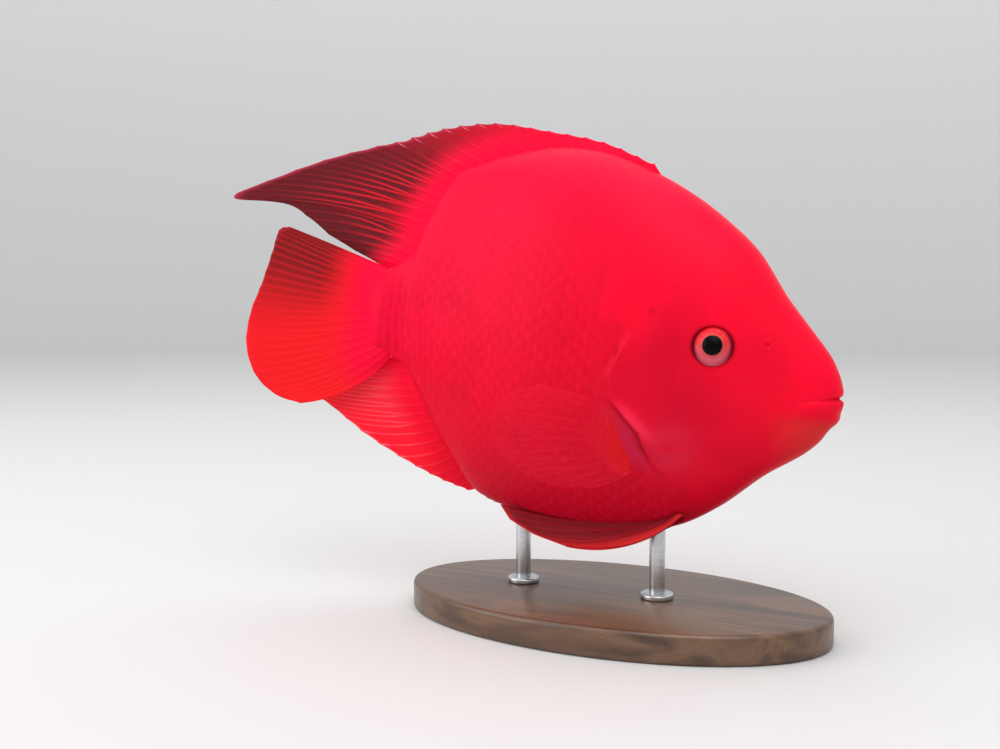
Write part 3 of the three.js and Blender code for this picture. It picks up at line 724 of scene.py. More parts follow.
scaleCoat = {
    "pitch": 2.4, "width": 4.7, "length": 5.4, "lift": 0.13, "sink": -0.10, "thick": 0.24, "jitter": 0.14,
    "firstStation": 5.0, "lastStation": 17.6, "backMargin": 1.5, "gillMargin": 0.5, "lastScale": 137,
    "crown": 0.07, "tubule": 0.16, "tubuleWidth": 0.22, "poreLine": 1.4, "hindRound": (0.42, 0.58),
    "rootWidth": 0.86, "overlap": 1.02, "tailSize": 0.55, "shrinks": (108, 134), "hidden": 0.3,
    "seed": 7, "patch": 0.003,
}


def readTable(table, x, y):
    rows, columns = table.shape
    x = np.clip(x, 0, rows - 1.001)
    y = np.clip(y, 0, columns - 1.001)
    i, j = x.astype(int), y.astype(int)
    a, b = x - i, y - j
    return (table[i, j] * (1 - a) * (1 - b) + table[i + 1, j] * a * (1 - b)
            + table[i, j + 1] * (1 - a) * b + table[i + 1, j + 1] * a * b)


# Millimetres up or down the flank from its widest line, for half a section at each place.
placeSteps, angleSteps = 260, 180
tablePlaces = np.linspace(scaleCoat["firstStation"], scaleCoat["lastStation"], placeSteps)
tableAngles = np.linspace(0, math.pi, angleSteps)
flankGrid = np.stack(bodySection(*np.meshgrid(tablePlaces, tableAngles, indexing="ij")), -1)
girth = np.concatenate([np.zeros((placeSteps, 1)),
                        np.cumsum(np.linalg.norm(np.diff(flankGrid, axis=1), axis=2), axis=1)], axis=1)
upFlank = girth[:, angleSteps // 2][:, None] - girth
flankLine = flankGrid[:, angleSteps // 2]
alongFlank = np.concatenate([[0], np.cumsum(np.linalg.norm(np.diff(flankLine, axis=0), axis=1))])


def onFlank(along, up):
    place = np.interp(along, alongFlank, np.arange(placeSteps))
    share = halved(np.zeros_like(along), np.full_like(along, angleSteps - 1.0), 16,
                   lambda middle: readTable(upFlank, place, middle) > up)
    return (lerp(tablePlaces[0], tablePlaces[-1], place / (placeSteps - 1)),
            share / (angleSteps - 1) * math.pi)


# Scale colours: a deeper red for the random tint and for the painted shade at the roots, and a lighter red for
# the painted highlight on the hind edges.
scaleLook = {"deeper": (0.46, 0.002, 0.014), "rim": (0.96, 0.010, 0.046), "rimHighlightShare": 0.20}
lateralLine = [(57, 25.5), (66.3, 27.5), (81.1, 27.2), (93.1, 25.4), (105.4, 22.4), (114.4, 16.1)]


def makeScaleTemplate():
    template = makeGrid(5, 4, (0.5, 0.0, 0.0))
    bpy.ops.object.mode_set(mode="EDIT")
    bpy.ops.mesh.select_all(action="SELECT")
    bpy.ops.mesh.extrude_region_move(TRANSFORM_OT_translate={"value": (0.0, 0.0, 1.0)})
    bpy.ops.mesh.select_all(action="SELECT")
    bpy.ops.mesh.normals_make_consistent(inside=False)
    bpy.ops.object.mode_set(mode="OBJECT")
    points = vertexArray(template.data)
    faces = [list(polygon.vertices) for polygon in template.data.polygons]
    bpy.data.objects.remove(template)
    return points, faces


def makeScales(name, side):
    points, faces = makeScaleTemplate()
    x, y, top = points[:, 0], points[:, 1] * 2, points[:, 2]
    roundFrom, roundSpan = scaleCoat["hindRound"]
    hindCurve = np.sqrt(np.clip(1 - (np.clip(x - roundFrom, 0, 1) / roundSpan) ** 2, 0.02, 1))
    rounded = hindCurve * lerp(scaleCoat["rootWidth"], 1.0, smooth(x, 0, 0.4))
    random = np.random.default_rng(scaleCoat["seed"] + side)
    centres = []
    columns = int(alongFlank[-1] / scaleCoat["pitch"])
    for column in range(columns):
        for row in range(-14, 15):
            centres.append((column * scaleCoat["pitch"], (row + 0.5 * (column % 2)) * scaleCoat["width"]))
    centres = np.array(centres) + random.normal(0, scaleCoat["jitter"], (len(centres), 2))
    place, angle = onFlank(centres[:, 0], centres[:, 1])
    s, v, _w = bodySection(place, angle)
    behind = s - edgeAt(gillEdge, v)
    station = np.interp(centres[:, 0], alongFlank, np.arange(placeSteps))
    highest = readTable(upFlank, station, np.zeros(len(s))) - scaleCoat["backMargin"]
    lowest = readTable(upFlank, station, np.full(len(s), angleSteps - 1.0)) + scaleCoat["backMargin"]
    keep = (behind > scaleCoat["gillMargin"]) & (s < scaleCoat["lastScale"])
    keep &= (centres[:, 1] < highest) & (centres[:, 1] > lowest)
    centres, s, v, behind = centres[keep], s[keep], v[keep], behind[keep]
    taper = lerp(1.0, scaleCoat["tailSize"], smooth(s, *scaleCoat["shrinks"]))
    count, each = len(centres), len(points)
    along = centres[:, :1] + (x[None, :] - 0.5) * scaleCoat["length"] * lerp(1.0, taper, 0.5)[:, None]
    up = centres[:, 1:] + 0.5 * scaleCoat["width"] * scaleCoat["overlap"] * (y * rounded)[None, :]
    place, angle = onFlank(along.ravel(), up.ravel())
    angle = angle * side
    small = 0.002
    alongPlace = bodyPoint(place + small, angle) - bodyPoint(place - small, angle)
    alongAngle = bodyPoint(place, angle + small) - bodyPoint(place, angle - small)
    normal = unitNormal(alongAngle, alongPlace)
    nape = smooth(v, 4.0, 14.0)
    shown = lerp(smooth(behind, -2.0, 8.0), smooth(behind, 0.0, 26.0), nape) * random.uniform(0.8, 1.1, count)
    crown = scaleCoat["crown"] * (1 - (y * rounded) ** 2)
    pored = hill(distanceTo(lateralLine, s, v), 0, scaleCoat["poreLine"])
    tubule = scaleCoat["tubule"] * hill(y, 0, scaleCoat["tubuleWidth"]) * window(x, (0.3, 0.5), (0.75, 0.95))
    lift = lerp(scaleCoat["sink"], scaleCoat["lift"], x) + crown * x
    height = lift[None, :] * shown[:, None] - scaleCoat["hidden"] * (1 - smooth(shown, 0.0, 0.25))[:, None]
    height = height + pored[:, None] * tubule[None, :] - scaleCoat["thick"] * (1 - top)[None, :]
    pointS, pointV, _w = bodySection(place, angle)
    groove = skinRelief(pointS, pointV, np.zeros(len(place), bool))
    world = bodyPoint(place, angle) + normal * ((height.ravel() + groove) * mm)[:, None]
    mesh = bpy.data.meshes.new(name)
    allFaces = [[corner + each * k for corner in face] for k in range(count) for face in faces]
    mesh.from_pydata(world.tolist(), [], allFaces)
    piece = bpy.data.objects.new(name, mesh)
    bpy.context.collection.objects.link(piece)
    storeValues(mesh, "toneAndPaintedLight", np.repeat(bodyToneAndPaintedLight(s, v), each))
    storeValues(mesh, "tint", np.repeat(random.uniform(0, 1, count), each))
    storeValues(mesh, "shown", np.repeat(np.clip(shown, 0, 1), each))
    storeValues(mesh, "paintedShade", creaseShade(pointS, pointV, np.zeros(len(place), bool)))
    storeValues(mesh, "behindGill", paleShade(pointS, pointV))
    storeValues(mesh, "hindEdge", np.tile(smooth(x, 0.55, 1.0), count))
    layer = mesh.uv_layers.new(name="OFBake")
    roots = np.stack([centres[:, 0] / alongFlank[-1], 0.5 + centres[:, 1] / 150.0], -1)
    patch = scaleCoat["patch"] * np.stack([x - 0.5, 0.5 * y], -1)
    corners = np.empty(len(mesh.loops), np.int32)
    mesh.loops.foreach_get("vertex_index", corners)
    baked = roots[corners // each] * 0.97 + 0.01 + patch[corners % each]
    layer.data.foreach_set("uv", baked.astype(np.float32).ravel())
    closeUp(piece, 0.0000001)
    bpy.ops.object.shade_smooth_by_angle(angle=math.radians(50))
    print(name + ":", count, "scales")
    return piece


def makeScaleMaterial():
    material, tree, shader = newMaterial("scaleRed")
    body = cloudyColour(tree)
    hindEdge = readValue(tree, "hindEdge")
    deeper = mixColours(tree, 0.24, body, scaleLook["deeper"])
    tinted = mixColours(tree, readValue(tree, "tint"), body, deeper)
    # Each scale's covered root is painted darker, as shade under the scale before it, and its raised hind edge
    # gets a painted highlight.
    shadedRoots = mixColours(tree, addSmoothStep(tree, hindEdge, 0.7, 0.1), tinted, deeper)
    edge = addMath(tree, "MULTIPLY", hindEdge, scaleLook["rimHighlightShare"])
    rimmed = mixColours(tree, edge, shadedRoots, scaleLook["rim"])
    finishFlesh(tree, shader, mixColours(tree, readValue(tree, "shown"), body, rimmed))
    return material


scaleMaterial = makeScaleMaterial()
for side, sideName in ((-1, "Right"), (1, "Left")):
    scales = makeScales("scales" + sideName, side)
    scales.data.materials.append(scaleMaterial)
    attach(scales, "root")

# Fins

membrane = {"half": 0.13, "tipShare": 0.75}
dorsal = {
    "spines": 16, "softRays": 12, "perRay": 16, "rows": 52, "rayFoot": 0.12, "spineShare": 15.5 / 27,
    "forkFrom": 0.10, "forkTo": 0.55,
    "spineRoots": [(50, 42, 0), (62, 47.5, 0), (74, 50.5, 0), (88, 50.5, 0), (100, 47, 0), (112, 41, 0)],
    "softRoots": [(113.5, 39.5, 0), (118.5, 33, 0), (121.5, 26, 0), (124, 19, 0), (126, 12, 0)],
    "spineTips": [(60, 53.3, 0), (76, 57.8, 0), (93, 59.3, 0), (110, 60, 0), (126, 56.8, 0),
                  (139.4, 51.2, 0)],
    "softTips": [(145, 49.4, 0.3), (160, 43.8, 1.2), (176, 36.4, 2.6), (190.6, 28.4, 4.4), (171.5, 28.4, 3.6),
                 (156, 20.6, 3), (139, 14.2, 2.6)],
    "bow": 3.4, "bowFullFrom": 0.8, "bowFadesFrom": 0.86, "spineNotch": 0.9, "softNotch": 0.5,
    "belly": 0.0, "wave": 0.7, "waves": 5, "ridge": 0.34, "sheath": 1.6, "sheathReach": 0.3,
    "rimFades": (0.78, 0.86),
}
anal = {
    "spines": 8, "rays": 17, "perRay": 16, "rows": 46, "rayFoot": 0.13, "spineShare": 7.5 / 16,
    "forkFrom": 0.15, "forkTo": 0.60,
    "roots": [(98, -42, 0), (106, -36, 0), (112.5, -28.5, 0), (118, -20, 0), (123, -10.5, 0)],
    "tips": [(103.5, -48.6, 0), (113, -47, 0), (124, -43.4, 0), (139, -37.4, 0.8), (152, -30.8, 2.2),
             (166, -25, 4.4), (152, -20.4, 4.2), (138.5, -15.2, 3.6)],
    "bow": -1.6, "lastBow": 0.8, "bowFadesFrom": 0.7, "spineNotch": 0.7, "softNotch": 0.35,
    "belly": 0.0, "wave": 0.5, "waves": 4, "ridge": 0.18, "sheath": 1.0, "sheathReach": 0.3,
    "rimFades": (0.6, 0.9),
}
caudal = {
    "rays": 16, "perRay": 18, "rows": 50, "rayFoot": 0.18, "forkFrom": 0.20, "forkTo": 0.65,
    "roots": [(133.0, 13.0, 0), (134.2, 4, 0), (134.2, -4, 0), (132.4, -12.2, 0)],
    "tips": [(167.8, 22.2, 0), (170.9, 20.8, 0), (172.3, 14, 0), (174.3, 4.5, 0), (176.8, -5, 0),
             (177.2, -15, 0), (173.5, -24, 0), (166.4, -29.2, 0), (158.5, -30.6, 0)],
    "topBow": 0.2, "bottomBow": -3.2, "softNotch": 0.15,
    "belly": 0.0, "wave": 0.5, "waves": 3, "ridge": 0.18, "sheath": 2.3, "sheathReach": 0.45,
    "rimFades": (0.0, 0.25),
}
pectoral = {
    "rays": 12, "perRay": 16, "rows": 42, "rayFoot": 0.13, "forkFrom": 0.35, "forkTo": 0.80,
    "roots": [(49.6, -14.4, 17.6), (49.4, -19, 16.8), (48.4, -23.6, 15.8), (46.8, -27.6, 14.6)],
    "tips": [(73, -8.6, 26), (81, -12.6, 29), (84.4, -19, 30.4), (82.6, -26, 30.2), (76, -31.6, 28.6),
             (66.5, -34.6, 26), (57, -34, 22.6)],
    "topBow": 1.6, "bottomBow": -1.2, "softNotch": 0.5,
    "belly": 1.4, "wave": 0.4, "waves": 3, "ridge": 0.12, "sheath": 1.1, "sheathReach": 0.35,
    "rimFades": (0.0, 0.5),
}
pelvic = {
    "rays": 6, "perRay": 20, "rows": 56, "rayFoot": 0.14, "forkFrom": 0.30, "forkTo": 0.80,
    "roots": [(33.6, -38.2, 8.6), (36.2, -40.2, 7.6), (39.6, -42.2, 6.2)],
    "tips": [(65, -54.8, 9.8), (76, -53.8, 9.4), (84.4, -51.6, 8.8), (88.8, -48.4, 8), (83.6, -49.8, 6.8),
             (76, -51.4, 5.8)],
    "topBow": -4.0, "bottomBow": -1.6, "softNotch": 0.7,
    "belly": 0.6, "wave": 0.3, "waves": 2, "ridge": 0.26, "sheath": 1.0, "sheathReach": 0.25,
    "rimFades": (0.3, 0.9),
}


# A fin starts as a slab of squares: x counts along the roots, y out to the edge, z picks the face.
def makeFin(name, fin, rays, rootAt, edgeAtShare, leavesAt, bowAt, notchAt, duskAt, side=1):
    piece = makeGrid((rays - 1) * fin["perRay"], fin["rows"], (0.5, 0.5, 0.0))
    piece.name = name
    bpy.ops.object.mode_set(mode="EDIT")
    bpy.ops.mesh.select_all(action="SELECT")
    bpy.ops.mesh.extrude_region_move(TRANSFORM_OT_translate={"value": (0.0, 0.0, 1.0)})
    bpy.ops.object.mode_set(mode="OBJECT")
    points = vertexArray(piece.data)
    across, row, face = points[:, 0], points[:, 1], 2 * points[:, 2] - 1

    def rayShape(across, row):
        at = across * (rays - 1)
        away = np.abs(at - np.round(at))
        forks = across > fin.get("spineShare", 0.0)
        spread = 0.25 * smooth(row, fin["forkFrom"], fin["forkTo"]) * forks
        off = np.abs(away - spread)
        foot = lerp(fin["rayFoot"], 0.5 * fin["rayFoot"], smooth(row, 0.3, 0.9))
        return np.clip(1 - (off / foot) ** 2, 0.0, 1.0)

    def middle(across, row):
        root, edge = rootAt(across), edgeAtShare(across)
        length = np.hypot(edge[:, 0] - root[:, 0], edge[:, 1] - root[:, 1])
        at = across * (rays - 1)
        between = np.sin(math.pi * (at - np.floor(at))) ** 0.7
        reach = row * (1 - between * notchAt(across) / length * row)
        hump = 4 * reach * (1 - reach)
        bow = bowAt(across) * hump
        s = lerp(root[:, 0], edge[:, 0], reach) + bow * (root[:, 1] - edge[:, 1]) / length
        v = lerp(root[:, 1], edge[:, 1], reach) + bow * (edge[:, 0] - root[:, 0]) / length
        wave = fin["wave"] * np.sin(fin["waves"] * math.pi * across) * reach * reach
        w = lerp(root[:, 2], edge[:, 2], reach) + fin["belly"] * hump + wave
        return s, v, side * w, leavesAt(across, s)

    def surface(across, row):
        s, v, w, base = middle(across, row)
        return placed(s, w, v, base)

    small = 0.002
    acrossStep = surface(np.minimum(across + small, 1), row) - surface(np.maximum(across - small, 0), row)
    outStep = surface(across, np.minimum(row + small, 1)) - surface(across, np.maximum(row - small, 0))
    normal = unitNormal(acrossStep, outStep, 1e-12)
    ray = rayShape(across, row)
    sheath = fin["sheath"] * np.clip(1 - row / fin["sheathReach"], 0, 1) ** 2
    sheath = sheath * np.clip(1 - (2 * across - 1) ** 6, 0.1, 1)
    ridge = fin["ridge"] * ray * (1 - 0.7 * row)
    half = membrane["half"] * lerp(1, membrane["tipShare"], row) + ridge + sheath
    s, v, _w, _base = middle(across, row)
    storeValues(piece.data, "ray", ray)
    storeValues(piece.data, "reach", row)
    storeValues(piece.data, "dusk", duskAt(across, row))
    storeValues(piece.data, "rim", smooth(row, 0.94, 1.0) * (1 - smooth(across, *fin["rimFades"])))
    # A painted highlight at the tips of the spines.
    onSpine = across < fin.get("spineShare", 0.0)
    storeValues(piece.data, "tipHighlight", smooth(row, 0.84, 0.95) * ray ** 0.5 * onSpine)
    storeValues(piece.data, "toneAndPaintedLight", bodyToneAndPaintedLight(s, v))
    profile = guideLine(bodyStations[:cadSpans + 1], np.linspace(0.3, 1, 240))
    stem = np.stack([np.full(12, profile[-1, 0]), np.linspace(profile[-1, 1], profile[-1, 3], 12)], -1)
    beyond = np.full(len(s), 1e9)
    for s0, v0 in np.vstack([profile[:, 0:2], profile[:, 2:4], stem]):
        beyond = np.minimum(beyond, np.hypot(s - s0, v - v0))
    storeValues(piece.data, "beyond", beyond)
    storePoints(piece.data, surface(across, row) + normal * (face * half * mm)[:, None])
    closeUp(piece, 0.000001)
    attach(piece, "root")
    print(name + ":", len(piece.data.polygons), "faces")
    return piece


def lineReader(points):
    return lambda share: guideLine(points, share)


dorsalRays = dorsal["spines"] + dorsal["softRays"]
lastSpine = (dorsal["spines"] - 1) / (dorsalRays - 1)
firstSoftRay = dorsal["spines"] / (dorsalRays - 1)


def dorsalReader(spinePoints, softPoints):
    def read(share):
        spines = guideLine(spinePoints, np.clip(share / lastSpine, 0, 1))
        soft = guideLine(softPoints, np.clip((share - firstSoftRay) / (1 - firstSoftRay), 0, 1))
        blend = np.clip((share - lastSpine) / (firstSoftRay - lastSpine), 0, 1)[:, None]
        return spines + (soft - spines) * blend
    return read


# The flesh of the body runs out over the base of a fin and fades into rays and membrane.
def makeFinMaterial(name, look):
    material, tree, shader = newMaterial(name)
    ray = readValue(tree, "ray")
    dusk = readValue(tree, "dusk")
    web = mixColours(tree, dusk, look["membrane"], look["dusk"])
    outer = addSmoothStep(tree, readValue(tree, "reach"), *look["outFrom"])
    rays = mixColours(tree, outer, look["ray"], look["rayOut"])
    webbed = mixColours(tree, addMath(tree, "MULTIPLY", ray, look["rayShows"]), web, rays)
    # Painted highlights at the spine tips.
    tipped = mixColours(tree, readValue(tree, "tipHighlight"), webbed, look["tipHighlightColour"])
    rimmed = mixColours(tree, readValue(tree, "rim"), tipped, look["edge"])
    fleshShare = addSmoothStep(tree, readValue(tree, "beyond"), look["fleshTo"], look["fleshFrom"])
    tree.links.new(mixColours(tree, fleshShare, rimmed, bodyColourAndPaintedShade(tree)), shader.inputs["Base Color"])
    webSolid = addMath(tree, "ADD", look["solid"], addMath(tree, "MULTIPLY", dusk, look["duskSolid"]))
    raySolid = addMath(tree, "MAXIMUM", addMath(tree, "MULTIPLY", ray, look["raySolid"]), fleshShare)
    tree.links.new(addMath(tree, "MAXIMUM", raySolid, webSolid), shader.inputs["Alpha"])
    setInputs(shader, {"Roughness": 0.45, "Specular IOR Level": 0.06})
    return material


dorsalRoot = dorsalReader(dorsal["spineRoots"], dorsal["softRoots"])
dorsalFin = makeFin(
    "dorsalFin", dorsal, dorsalRays, dorsalRoot, dorsalReader(dorsal["spineTips"], dorsal["softTips"]),
    leavesAt=lambda across, s: dorsalRoot(across)[:, 0],
    bowAt=lambda across: (dorsal["bow"] * smooth(across, lastSpine, dorsal["bowFullFrom"])
                          * (1 - smooth(across, dorsal["bowFadesFrom"], 1))),
    notchAt=lambda across: np.where(across < lastSpine, dorsal["spineNotch"], dorsal["softNotch"]),
    duskAt=lambda across, row: smooth(across, 0.28, 0.66) * smooth(row, 0.10, 0.38))
dorsalFin.data.materials.append(makeFinMaterial("dorsalFinSkin", {
    "ray": (0.80, 0.008, 0.024), "rayOut": (0.27, 0.009, 0.018), "membrane": (0.62, 0.006, 0.024),
    "dusk": (0.140, 0.007, 0.012), "edge": (0.46, 0.030, 0.070), "rayShows": 0.95, "outFrom": (0.35, 0.85),
    "tipHighlightColour": (0.95, 0.20, 0.30), "fleshFrom": 2.0, "fleshTo": 11.0,
    "solid": 0.96, "duskSolid": -0.07, "raySolid": 0.97}))
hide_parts("dorsal_fin")

analRoot = lineReader(anal["roots"])
analFin = makeFin(
    "analFin", anal, anal["rays"], analRoot, lineReader(anal["tips"]),
    leavesAt=lambda across, s: analRoot(across)[:, 0],
    bowAt=lambda across: lerp(anal["bow"], anal["lastBow"], smooth(across, anal["bowFadesFrom"], 1)),
    notchAt=lambda across: np.where(across * (anal["rays"] - 1) < anal["spines"], anal["spineNotch"],
                                    anal["softNotch"]),
    duskAt=lambda across, row: smooth(across, 0.40, 0.85) * smooth(row, 0.12, 0.40))
analFin.data.materials.append(makeFinMaterial("analFinSkin", {
    "ray": (0.93, 0.010, 0.026), "rayOut": (0.97, 0.085, 0.120), "membrane": (0.93, 0.010, 0.030),
    "dusk": (0.90, 0.026, 0.050), "edge": (0.90, 0.05, 0.07), "rayShows": 0.65, "outFrom": (0.15, 0.45),
    "tipHighlightColour": (0.95, 0.16, 0.22), "fleshFrom": 2.0, "fleshTo": 12.0,
    "solid": 0.97, "duskSolid": -0.04, "raySolid": 0.97}))
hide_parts("anal_fin")

caudalFin = makeFin(
    "caudalFin", caudal, caudal["rays"], lineReader(caudal["roots"]), lineReader(caudal["tips"]),
    leavesAt=lambda across, s: np.full_like(s, stance["bendEnd"]),
    bowAt=lambda across: lerp(caudal["topBow"], caudal["bottomBow"], across * across),
    notchAt=lambda across: np.full_like(across, caudal["softNotch"]),
    duskAt=lambda across, row: (1 - smooth(across, 0.22, 0.62)) * smooth(row, 0.28, 0.62))
caudalFin.data.materials.append(makeFinMaterial("caudalFinSkin", {
    "ray": (0.88, 0.010, 0.016), "rayOut": (0.80, 0.013, 0.018), "membrane": (0.90, 0.013, 0.019),
    "dusk": (0.22, 0.008, 0.010), "edge": (0.50, 0.02, 0.028), "rayShows": 0.46, "outFrom": (0.30, 0.75),
    "tipHighlightColour": (0.90, 0.02, 0.03), "fleshFrom": 5.0, "fleshTo": 18.0,
    "solid": 0.97, "duskSolid": -0.06, "raySolid": 0.98}))
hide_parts("caudal_fin")

pairedFinish = {
    "pectoral": makeFinMaterial("pectoralFinSkin", {
        "ray": (0.86, 0.016, 0.030), "rayOut": (0.86, 0.02, 0.05), "membrane": (0.86, 0.020, 0.050),
        "dusk": (0.86, 0.012, 0.012), "edge": (0.86, 0.03, 0.07), "rayShows": 0.9, "outFrom": (0.35, 0.85),
        "tipHighlightColour": (0.86, 0.02, 0.05), "fleshFrom": -1.0, "fleshTo": 0.0,
        "solid": 0.05, "duskSolid": 0.50, "raySolid": 0.17}),
    # The pelvic fins are painted dark: partly their own deeper red, partly painted shade where they hang under
    # the belly.
    "pelvic": makeFinMaterial("pelvicFinSkin", {
        "ray": (0.28, 0.005, 0.012), "rayOut": (0.28, 0.005, 0.012), "membrane": (0.19, 0.003, 0.009),
        "dusk": (0.60, 0.016, 0.016), "edge": (0.60, 0.018, 0.016), "rayShows": 0.9, "outFrom": (0.35, 0.85),
        "tipHighlightColour": (0.28, 0.005, 0.012), "fleshFrom": -1.0, "fleshTo": 0.0,
        "solid": 0.93, "duskSolid": 0.05, "raySolid": 0.97}),
}
duskNear = {
    "pectoral": lambda across, row: 1 - smooth(row, 0.05, 0.32),
    "pelvic": lambda across, row: 1 - smooth(across, 0.0, 0.3),
}
for kind, fin in (("pectoral", pectoral), ("pelvic", pelvic)):
    for side, sideName in ((-1, "right"), (1, "left")):
        piece = makeFin(
            kind + "Fin" + sideName.title(), fin, fin["rays"], lineReader(fin["roots"]),
            lineReader(fin["tips"]),
            leavesAt=lambda across, s: s,
            bowAt=lambda across, fin=fin: lerp(fin["topBow"], fin["bottomBow"], across),
            notchAt=lambda across, fin=fin: np.full_like(across, fin["softNotch"]),
            duskAt=duskNear[kind], side=side)
        piece.data.materials.append(pairedFinish[kind])
        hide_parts(kind + "_fin_" + sideName)

# Eyes

eyeLook = {
    "pupil": 2.55, "ring": 2.8, "bulge": 0.5, "bulgeRadius": 2.9, "rimFrom": 3.9, "rimTo": 4.9,
    "iris": [(0.10, (0.68, 0.13, 0.19)), (0.32, (0.66, 0.08, 0.12)), (0.58, (0.68, 0.028, 0.044)),
             (0.88, (0.80, 0.018, 0.032))],
    "flecks": (0.74, 0.22, 0.22), "ringColour": (0.52, 0.075, 0.060), "rimShadeColour": (0.22, 0.008, 0.018),
    "pupilColour": (0.001, 0.001, 0.001),
}


def makeEyeMaterial(name):
    material, tree, shader = newMaterial(name)
    out = readValue(tree, "outFromPupil")
    iris = addRamp(tree, readValue(tree, "aboveCentre"), eyeLook["iris"])
    flecks = addSmoothStep(tree, addNoise(tree, objectPlace(tree), Scale=900.0, Detail=5.0), 0.50, 1.0)
    flecked = mixColours(tree, flecks, iris, eyeLook["flecks"])
    ring = addSmoothStep(tree, out, eyeLook["ring"] + 0.5, eyeLook["ring"] - 0.1)
    ringed = mixColours(tree, ring, flecked, eyeLook["ringColour"])
    # A painted shadow round the edge of the eyeball, where it meets the socket, darkest level with the eye.
    rimmed = mixColours(tree, readValue(tree, "rimShade"), ringed, eyeLook["rimShadeColour"])
    pupil = addSmoothStep(tree, out, eyeLook["pupil"] + 0.12, eyeLook["pupil"] - 0.08)
    tree.links.new(mixColours(tree, pupil, rimmed, eyeLook["pupilColour"]), shader.inputs["Base Color"])
    setInputs(shader, {
        "Roughness": 0.3, "Specular IOR Level": 0.05, "Coat Weight": 0.035, "Coat Roughness": 0.04})
    return material


eyeMaterial = makeEyeMaterial("parrotFishEye")


def makeEye(sideName):
    eye = eyes[sideName]
    clearSelection()
    bpy.ops.mesh.primitive_uv_sphere_add(segments=96, ring_count=64, radius=1.0)
    piece = bpy.context.object
    piece.name = "eye" + sideName.title()
    points = vertexArray(piece.data)
    out = np.hypot(points[:, 0], points[:, 1]) * eyeSpot["radius"]
    bulge = eyeLook["bulge"] * np.exp(-(out / eyeLook["bulgeRadius"]) ** 4)
    height = points[:, 2] * eyeSpot["depth"] + np.where(points[:, 2] > 0, bulge, 0.0)
    turn = Vector((0, 0, 1)).rotation_difference(Vector(eye["axis"])).to_matrix()
    local = np.stack([points[:, 0] * eyeSpot["radius"], points[:, 1] * eyeSpot["radius"], height], -1) * mm
    world = local @ np.array(turn).T + eye["centre"]
    storeValues(piece.data, "outFromPupil", out)
    offset = world - eye["centre"]
    rim = smooth(out, eyeLook["rimFrom"], eyeLook["rimTo"])
    storeValues(piece.data, "rimShade", rim * sideways(offset, eye["axis"], out))
    storeValues(piece.data, "aboveCentre", 0.5 + offset[:, 2] / (2 * eyeSpot["radius"] * mm))
    storePoints(piece.data, world)
    bpy.ops.object.shade_smooth()
    piece.data.materials.append(eyeMaterial)
    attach(piece, "root")
    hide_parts("eye_" + sideName)
    return piece


for sideName in eyes:
    makeEye(sideName)
print("eyes are in place")

# Stand

stand = {
    "length": 124.0, "width": 72.0, "thickness": 8.0, "bevel": 1.2, "rodRadius": 2.2,
    "rodStations": (50.0, 92.0), "rodNodes": ("stand_rod_front", "stand_rod_rear"), "rodOverlap": 0.001,
    "collarRadius": 4.6, "collarHeight": 1.6, "rodBevel": 0.4,
    "woodTones": [(0.30, (0.040, 0.018, 0.009)), (0.48, (0.095, 0.045, 0.022)),
                  (0.62, (0.150, 0.075, 0.036)), (0.78, (0.070, 0.032, 0.016))],
    "steelTones": [(0.3, (0.50, 0.51, 0.52)), (0.7, (0.68, 0.69, 0.70))],
}


def makeWalnut():
    material, tree, shader = newMaterial("walnut")
    place = objectPlace(tree, (1.0, 9.0, 9.0))
    grain = addNoise(tree, place, Scale=14.0, Detail=6.0, Distortion=1.2)
    tree.links.new(addRamp(tree, grain, stand["woodTones"]), shader.inputs["Base Color"])
    addBump(tree, shader, addNoise(tree, place, Scale=160.0), 0.2, 0.0002)
    setInputs(shader, {"Roughness": 0.38, "Coat Weight": 0.25, "Coat Roughness": 0.2})
    return material


def makeSteel():
    material, tree, shader = newMaterial("brushedSteel")
    lines = addNoise(tree, objectPlace(tree, (60.0, 60.0, 900.0)), Scale=6.0)
    tree.links.new(addRamp(tree, lines, stand["steelTones"]), shader.inputs["Base Color"])
    addBump(tree, shader, lines, 0.1, 0.00005)
    setInputs(shader, {"Metallic": 1.0, "Roughness": 0.3})
    return material


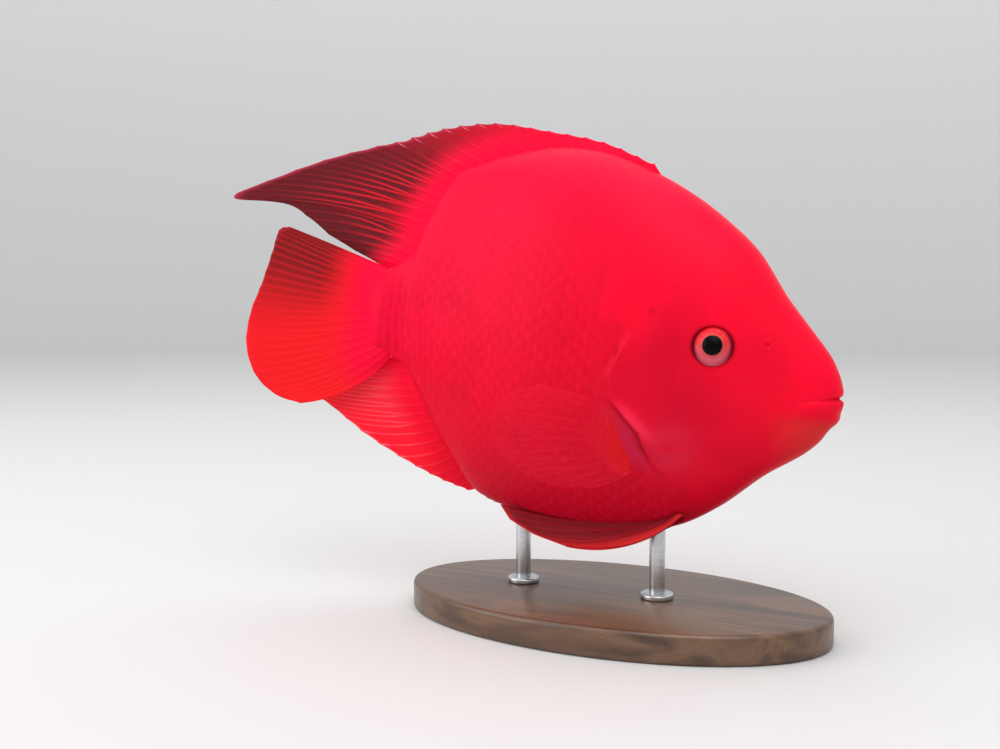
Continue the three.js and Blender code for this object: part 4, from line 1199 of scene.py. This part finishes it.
def bevelEdges(piece, width, segments, angle=30.0):
    bevel = piece.modifiers.new("roundedEdges", "BEVEL")
    bevel.width = width
    bevel.segments = segments
    bevel.limit_method = "ANGLE"
    bevel.angle_limit = math.radians(angle)
    bpy.context.view_layer.objects.active = piece
    bpy.ops.object.modifier_apply(modifier=bevel.name)
    bpy.ops.object.shade_smooth_by_angle(angle=math.radians(35))


def makeBase(material):
    clearSelection()
    bpy.ops.mesh.primitive_cylinder_add(vertices=160, radius=1.0, depth=1.0,
                                        location=(0.0, 0.0, 0.5 * stand["thickness"] * mm))
    piece = bpy.context.object
    piece.name = "standBase"
    piece.scale = (stand["length"] / 2 * mm, stand["width"] / 2 * mm, stand["thickness"] * mm)
    bpy.ops.object.transform_apply(location=True, rotation=True, scale=True)
    bevelEdges(piece, stand["bevel"] * mm, 4)
    piece.data.materials.append(material)
    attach(piece, "root")
    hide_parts("stand_base")


def makeRods(material):
    for station, node in zip(stand["rodStations"], stand["rodNodes"]):
        foot = placed(np.array(station), np.array(0.0), np.array(0.0))
        low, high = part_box(node)
        top = high.z + stand["rodOverlap"]
        bottom = stand["thickness"] * mm
        clearSelection()
        bpy.ops.mesh.primitive_cylinder_add(vertices=48, radius=stand["rodRadius"] * mm, depth=top - bottom,
                                            location=(foot[0], foot[1], 0.5 * (top + bottom)))
        rod = bpy.context.object
        bpy.ops.mesh.primitive_cylinder_add(
            vertices=64, radius=stand["collarRadius"] * mm, depth=stand["collarHeight"] * mm,
            location=(foot[0], foot[1], bottom + 0.5 * stand["collarHeight"] * mm))
        collar = bpy.context.object
        for piece in (rod, collar):
            selectOnly(piece)
            bpy.ops.object.transform_apply(location=True, rotation=True, scale=True)
            bevelEdges(piece, stand["rodBevel"] * mm, 3)
        selectOnly(rod)
        collar.select_set(True)
        bpy.ops.object.join()
        rod.name = "standRod" + ("Front" if node.endswith("front") else "Rear")
        rod.data.materials.append(material)
        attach(rod, "root")
        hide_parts(node)


makeBase(makeWalnut())
makeRods(makeSteel())
print("stand is in place")
